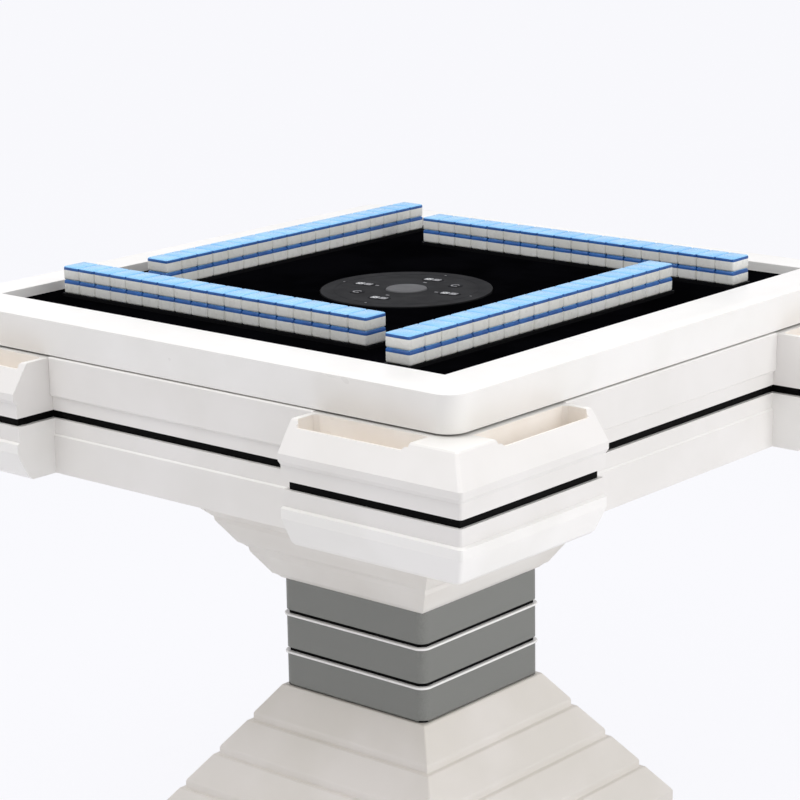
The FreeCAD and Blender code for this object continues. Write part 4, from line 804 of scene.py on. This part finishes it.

# %% [markdown]
# A machine sets the tiles down neatly but not perfectly. Each may be off its place by ALONG
# millimetres along the wall and by TWIST degrees, but not ACROSS the wall, because a pusher
# squares its face, and the end tiles stay where the wall ends. The same seed gives the same
# walls on every run. On a lower tile the part of the back's rounded rim that leans between
# upright and level gets the deeper blue too, as painted shade, where an upper tile has the
# lighter blue.

# %% Build the four walls
TILES, LEVELS, TILE_PITCH = 18, 2, 30.0
ALONG, ACROSS, TWIST = 0.15, 0.0, 0.15
random.seed(18)
front_low, front_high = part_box("tile_wall_front")
first_x = front_low[0] + TILE_WIDTH / 2 * mm
middle_y = (front_low[1] + front_high[1]) / 2
for quarter, side in enumerate(("front", "right", "back", "left")):
    copies = []
    turn = Matrix.Rotation(math.radians(90.0 * quarter), 4, "Z")
    for number in range(TILES):
        for level in range(LEVELS):
            copy = bpy.data.objects.new("tile_copy", tile.data.copy())
            bpy.context.scene.collection.objects.link(copy)
            shift_x = random.uniform(-ALONG, ALONG) * mm * (0 < number < TILES - 1)
            shift_y = random.uniform(-ACROSS, ACROSS) * mm
            spin = Matrix.Rotation(math.radians(random.uniform(-TWIST, TWIST)), 4, "Z")
            spot = Matrix.Translation((first_x + number * TILE_PITCH * mm + shift_x,
                                       middle_y + shift_y,
                                       front_low[2] + level * TILE_THICK * mm))
            for face in copy.data.polygons:
                # A lower tile's leaning rim gets the painted shade.
                if level == 0 and 0.6 < face.normal.z < 0.75:
                    face.material_index = 2
            copy.data.transform(turn @ spot @ spin)
            copies.append(copy)
    wall = join("tiles_" + side, copies)
    stand_for(wall, "tile_wall_" + side)
    print(wall.name, len(wall.data.polygons), "faces")
bpy.data.objects.remove(tile)

# %% [markdown]
# ## The console's print
# The marks are thin raised ink: a pair of dice at each seat, a turning arrow on the two round
# keys and small ticks. Each starts as a flat or thin primitive, is shaped in edit mode and ends
# about a tenth of a millimetre thick. A mark on a key rides with that key.

# %% Helpers for print on the console
CONSOLE_TURN = math.radians(8.0)
KEY_CIRCLE, KEY_INK, PIP_INK, FACE_INK = 67.5, 0.12, 0.08, 0.1
SEATS = {"front": -90, "right": 0, "back": 90, "left": 180}
turned = Matrix.Rotation(CONSOLE_TURN, 3, "Z")
face_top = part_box("console_face")[1][2]
key_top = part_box("dice_key_front")[1][2]


def on_console(radius_mm, degrees, along_mm=0.0):
    """A spot on the console, by its radius and its angle in the console's own frame."""
    angle = math.radians(degrees)
    x = radius_mm * math.cos(angle) + along_mm
    y = radius_mm * math.sin(angle)
    return turned @ Vector((x * mm, y * mm, 0.0))


def thicken(thick_mm):
    """Lifts all that is flat in edit mode into a closed form of a small thickness."""
    bpy.ops.mesh.select_all(action="SELECT")
    bpy.ops.mesh.extrude_region_move(TRANSFORM_OT_translate={"value": (0, 0, thick_mm * mm)})


def flat_mark(name, size_x, size_y, spot, height, corner_mm=1.5, thick_mm=KEY_INK):
    """A rounded rectangle of ink."""
    bpy.ops.object.select_all(action="DESELECT")
    bpy.ops.mesh.primitive_plane_add(size=1.0, location=(spot.x, spot.y, height),
                                     rotation=(0, 0, CONSOLE_TURN))
    mark = bpy.context.object
    mark.name = name
    mark.scale = (size_x * mm, size_y * mm, 1.0)
    settle(mark)
    edit_all()
    bpy.ops.mesh.bevel(offset=corner_mm * mm, segments=3, affect="VERTICES")
    thicken(thick_mm)
    face_outwards()
    return mark


def dot(name, radius_mm, spot, height):
    """A small round pip."""
    bpy.ops.object.select_all(action="DESELECT")
    bpy.ops.mesh.primitive_cylinder_add(vertices=16, radius=radius_mm * mm, depth=PIP_INK * mm,
                                        location=(spot.x, spot.y, height + PIP_INK / 2 * mm))
    pip = bpy.context.object
    pip.name = name
    edit_faces(pip, lambda centre, normal: normal.z > 0.9)
    bpy.ops.mesh.inset(thickness=0.2 * mm)
    leave_edit()
    return settle(pip)


print("console face at", round(face_top, 4), "keys at", round(key_top, 4))

# %% Dice marks on the four seat keys
DIE, DIE_SPACING, PIP_SPACING, PIP_RADIUS = 10.6, 6.5, 2.8, 0.95
PIPS = {3: [(-1, -1), (0, 0), (1, 1)], 5: [(-1, -1), (-1, 1), (0, 0), (1, -1), (1, 1)]}
for seat, degrees in SEATS.items():
    parts = []
    for count, along, shade in ((5, -DIE_SPACING, ink), (3, DIE_SPACING, faint_ink)):
        spot = on_console(KEY_CIRCLE, degrees, along)
        die = flat_mark("die", DIE, DIE, spot, key_top)
        die.data.materials.append(shade)
        parts.append(die)
        for column, row in PIPS[count]:
            offset = turned @ Vector((column * PIP_SPACING, row * PIP_SPACING, 0))
            pip = dot("pip", PIP_RADIUS, spot + offset * mm, key_top + KEY_INK * mm)
            pip.data.materials.append(acrylic_dark)
            parts.append(pip)
    mark = join("dice_mark_" + seat, parts)
    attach(mark, "dice_key_" + seat)
    print(mark.name, len(mark.data.polygons), "faces")

# %% [markdown]
# The turning arrow is three quarters of a flat ring with a triangle at its end. The ring comes
# from a circle whose edge is extruded and scaled inwards, after which a quarter is deleted.

# %% Turning arrows on the two round keys
def flat_ring(name, spot, height, outer_mm, inner_mm, vertices):
    """A flat ring round a spot."""
    bpy.ops.object.select_all(action="DESELECT")
    bpy.ops.mesh.primitive_circle_add(vertices=vertices, radius=outer_mm * mm,
                                      fill_type="NOTHING", location=(spot.x, spot.y, height))
    ring = bpy.context.object
    ring.name = name
    edit_all()
    bpy.ops.mesh.extrude_edges_move()
    shrink = inner_mm / outer_mm
    bpy.ops.transform.resize(value=(shrink, shrink, 1.0),
                             center_override=(spot.x, spot.y, height))
    leave_edit()
    return ring


ARROW_RADIUS, ARROW_INNER, HEAD_RADIUS, HEAD_X, HEAD_Y = 6.2, 4.216, 2.6, 3.7, -3.9
for side, degrees in (("left", -135), ("right", 45)):
    spot = on_console(KEY_CIRCLE, degrees)
    arrow = flat_ring("arrow_mark_" + side, spot, key_top, ARROW_RADIUS, ARROW_INNER, 40)
    edit_faces(arrow, lambda centre, normal: centre.x > 0 and abs(centre.y) < centre.x)
    bpy.ops.mesh.delete(type="FACE")
    thicken(KEY_INK)
    leave_edit()
    head_at = (spot.x + HEAD_X * mm, spot.y + HEAD_Y * mm, key_top + KEY_INK / 2 * mm)
    bpy.ops.object.select_all(action="DESELECT")
    bpy.ops.mesh.primitive_cylinder_add(vertices=3, radius=HEAD_RADIUS * mm,
                                        depth=KEY_INK * mm, location=head_at,
                                        rotation=(0, 0, math.radians(20)))
    head = bpy.context.object
    for thing in (head, arrow):
        settle(thing)
        thing.data.materials.append(faint_ink)
    join(arrow.name, (arrow, head))
    edit_all()
    bpy.ops.mesh.remove_doubles(threshold=0.01 * mm)
    face_outwards()
    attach(arrow, "lift_key_" + side)
    print(arrow.name, len(arrow.data.polygons), "faces")

# %% [markdown]
# A thin ring is printed round the console near its edge. At each seat one small tick lies
# between the dice and the middle and another outside the ring. The ring is made as the arrow's
# ring was.

# %% Printed ring and ticks
RING_OUTER, RING_INNER, TICK_CORNER = 98.2, 97.2, 0.6
TICKS = ((47.0, 5.5, 2.4), (100.5, 3.2, 1.4))
ring = flat_ring("console_ring", Vector(), face_top, RING_OUTER, RING_INNER, 96)
edit_all()
thicken(FACE_INK)
face_outwards()
settle(ring)
ring.data.materials.append(acrylic_dark)
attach(ring, "console")
ticks = []
for degrees in SEATS.values():
    for radius, size_x, size_y in TICKS:
        spot = on_console(radius, degrees)
        tick = flat_mark("tick", size_x, size_y, spot, face_top, TICK_CORNER, FACE_INK)
        tick.data.materials.append(faint_ink)
        ticks.append(tick)
marks = join("console_ticks", ticks)
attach(marks, "console")
print(ring.name, marks.name, "printed")

# %% [markdown]
# The console's own parts are turned mouldings, and their edges are broken by half a millimetre
# or so.

# %% Round the console's edges
for node_name, radius in (("console_face", 0.5), ("console_housing", 1.0),
                          ("console_cap", 0.4)):
    pieces[node_name] = rounded_copy(node_name, radius, segments=2, sharp_degrees=35.0)
    print(node_name, len(pieces[node_name].data.polygons), "faces")

# %% [markdown]
# ## The cloth
# The cloth is cut with a slot over each lift and a round mouth for the console, and it is
# stretched flat over the board. Its cut edges are soft, so they are rounded over.

# %% Lay the cloth
cloth_piece = rounded_copy("table_cloth", 0.5, segments=2, sharp_degrees=30.0)

# %% [markdown]
# ## Floor and light
# A pale floor keeps the table's shadow. The camera sees the floor and the world as the same
# near white, while the light that they give to the table stays at a plain level. GLOW_SHARE of
# what the camera sees of the floor is that white, and the rest is paint that takes the shadow.

# %% Floor
GLOW_SHARE = 0.94
bpy.ops.object.select_all(action="DESELECT")
bpy.ops.mesh.primitive_plane_add(size=24.0, location=(0, 0, 0))
floor = bpy.context.object
floor.name = "floor"
floor_paint, shader = new_material("pale studio floor", "#F6F6F8", 0.8)
light_path = add_node(floor_paint, "ShaderNodeLightPath")
glow = add_node(floor_paint, "ShaderNodeEmission",
                inputs={"Color": linear("#FBFBFF"), "Strength": 1.0})
share = add_node(floor_paint, "ShaderNodeMath", settings={"operation": "MULTIPLY"},
                 inputs={1: GLOW_SHARE}, links={0: light_path.outputs["Is Camera Ray"]})
blend = add_node(floor_paint, "ShaderNodeMixShader",
                 links={0: share.outputs["Value"], 1: shader.outputs["BSDF"],
                        2: glow.outputs["Emission"]})
output = floor_paint.node_tree.nodes["Material Output"]
floor_paint.node_tree.links.new(blend.outputs["Shader"], output.inputs["Surface"])
floor.data.materials.append(floor_paint)
print("floor laid")

# %% [markdown]
# The world is a plain studio at WORLD_LEVEL of white. The camera, and whatever mirrors it or
# lets it through, sees it at full white, so that metal shows the same background as its
# surroundings have.

# %% World
WORLD_LEVEL = 0.58
world = bpy.data.worlds.new("studio")
bpy.context.scene.world = world
world.use_nodes = True
background = world.node_tree.nodes["Background"]
background.inputs["Color"].default_value = linear("#FAFAFF")
path = add_node(world, "ShaderNodeLightPath")
seen = add_node(world, "ShaderNodeMath", settings={"operation": "MAXIMUM"},
                links={0: path.outputs["Is Camera Ray"], 1: path.outputs["Is Transmission Ray"]})
mirrored = add_node(world, "ShaderNodeMath", settings={"operation": "MAXIMUM"},
                    links={0: seen.outputs["Value"], 1: path.outputs["Is Glossy Ray"]})
strength = add_node(world, "ShaderNodeMapRange",
                    inputs={"To Min": WORLD_LEVEL, "To Max": 1.0},
                    links={"Value": mirrored.outputs["Value"]})
world.node_tree.links.new(strength.outputs["Result"], background.inputs["Strength"])
print("world set")

# %% [markdown]
# Three large soft panels light the table: one overhead, a stronger one from the right and a
# smaller one from above the front left. That leaves the right faces a little brighter than the
# left. Places are in metres and powers in watts.

# %% Lamps
def soft_panel(name, place, aim, size, watts):
    """A square area lamp of plain white that faces a point."""
    lamp = bpy.data.lights.new(name, "AREA")
    lamp.shape = "SQUARE"
    lamp.size = size
    lamp.energy = watts
    holder = bpy.data.objects.new(name, lamp)
    bpy.context.scene.collection.objects.link(holder)
    holder.location = place
    holder.rotation_euler = (Vector(aim) - Vector(place)).to_track_quat("-Z", "Y").to_euler()


soft_panel("overhead panel", (0.3, -0.2, 3.4), (0, 0, 0.7), 2.6, 28.0)
soft_panel("right panel", (3.6, 0.5, 1.6), (0, 0, 0.5), 2.0, 41.0)
soft_panel("front left panel", (-0.7, -1.9, 3.3), (0, 0, 0.7), 1.4, 32.0)
print("lamps hung")

# %% Colour settings
bpy.context.scene.view_settings.view_transform = "Standard"
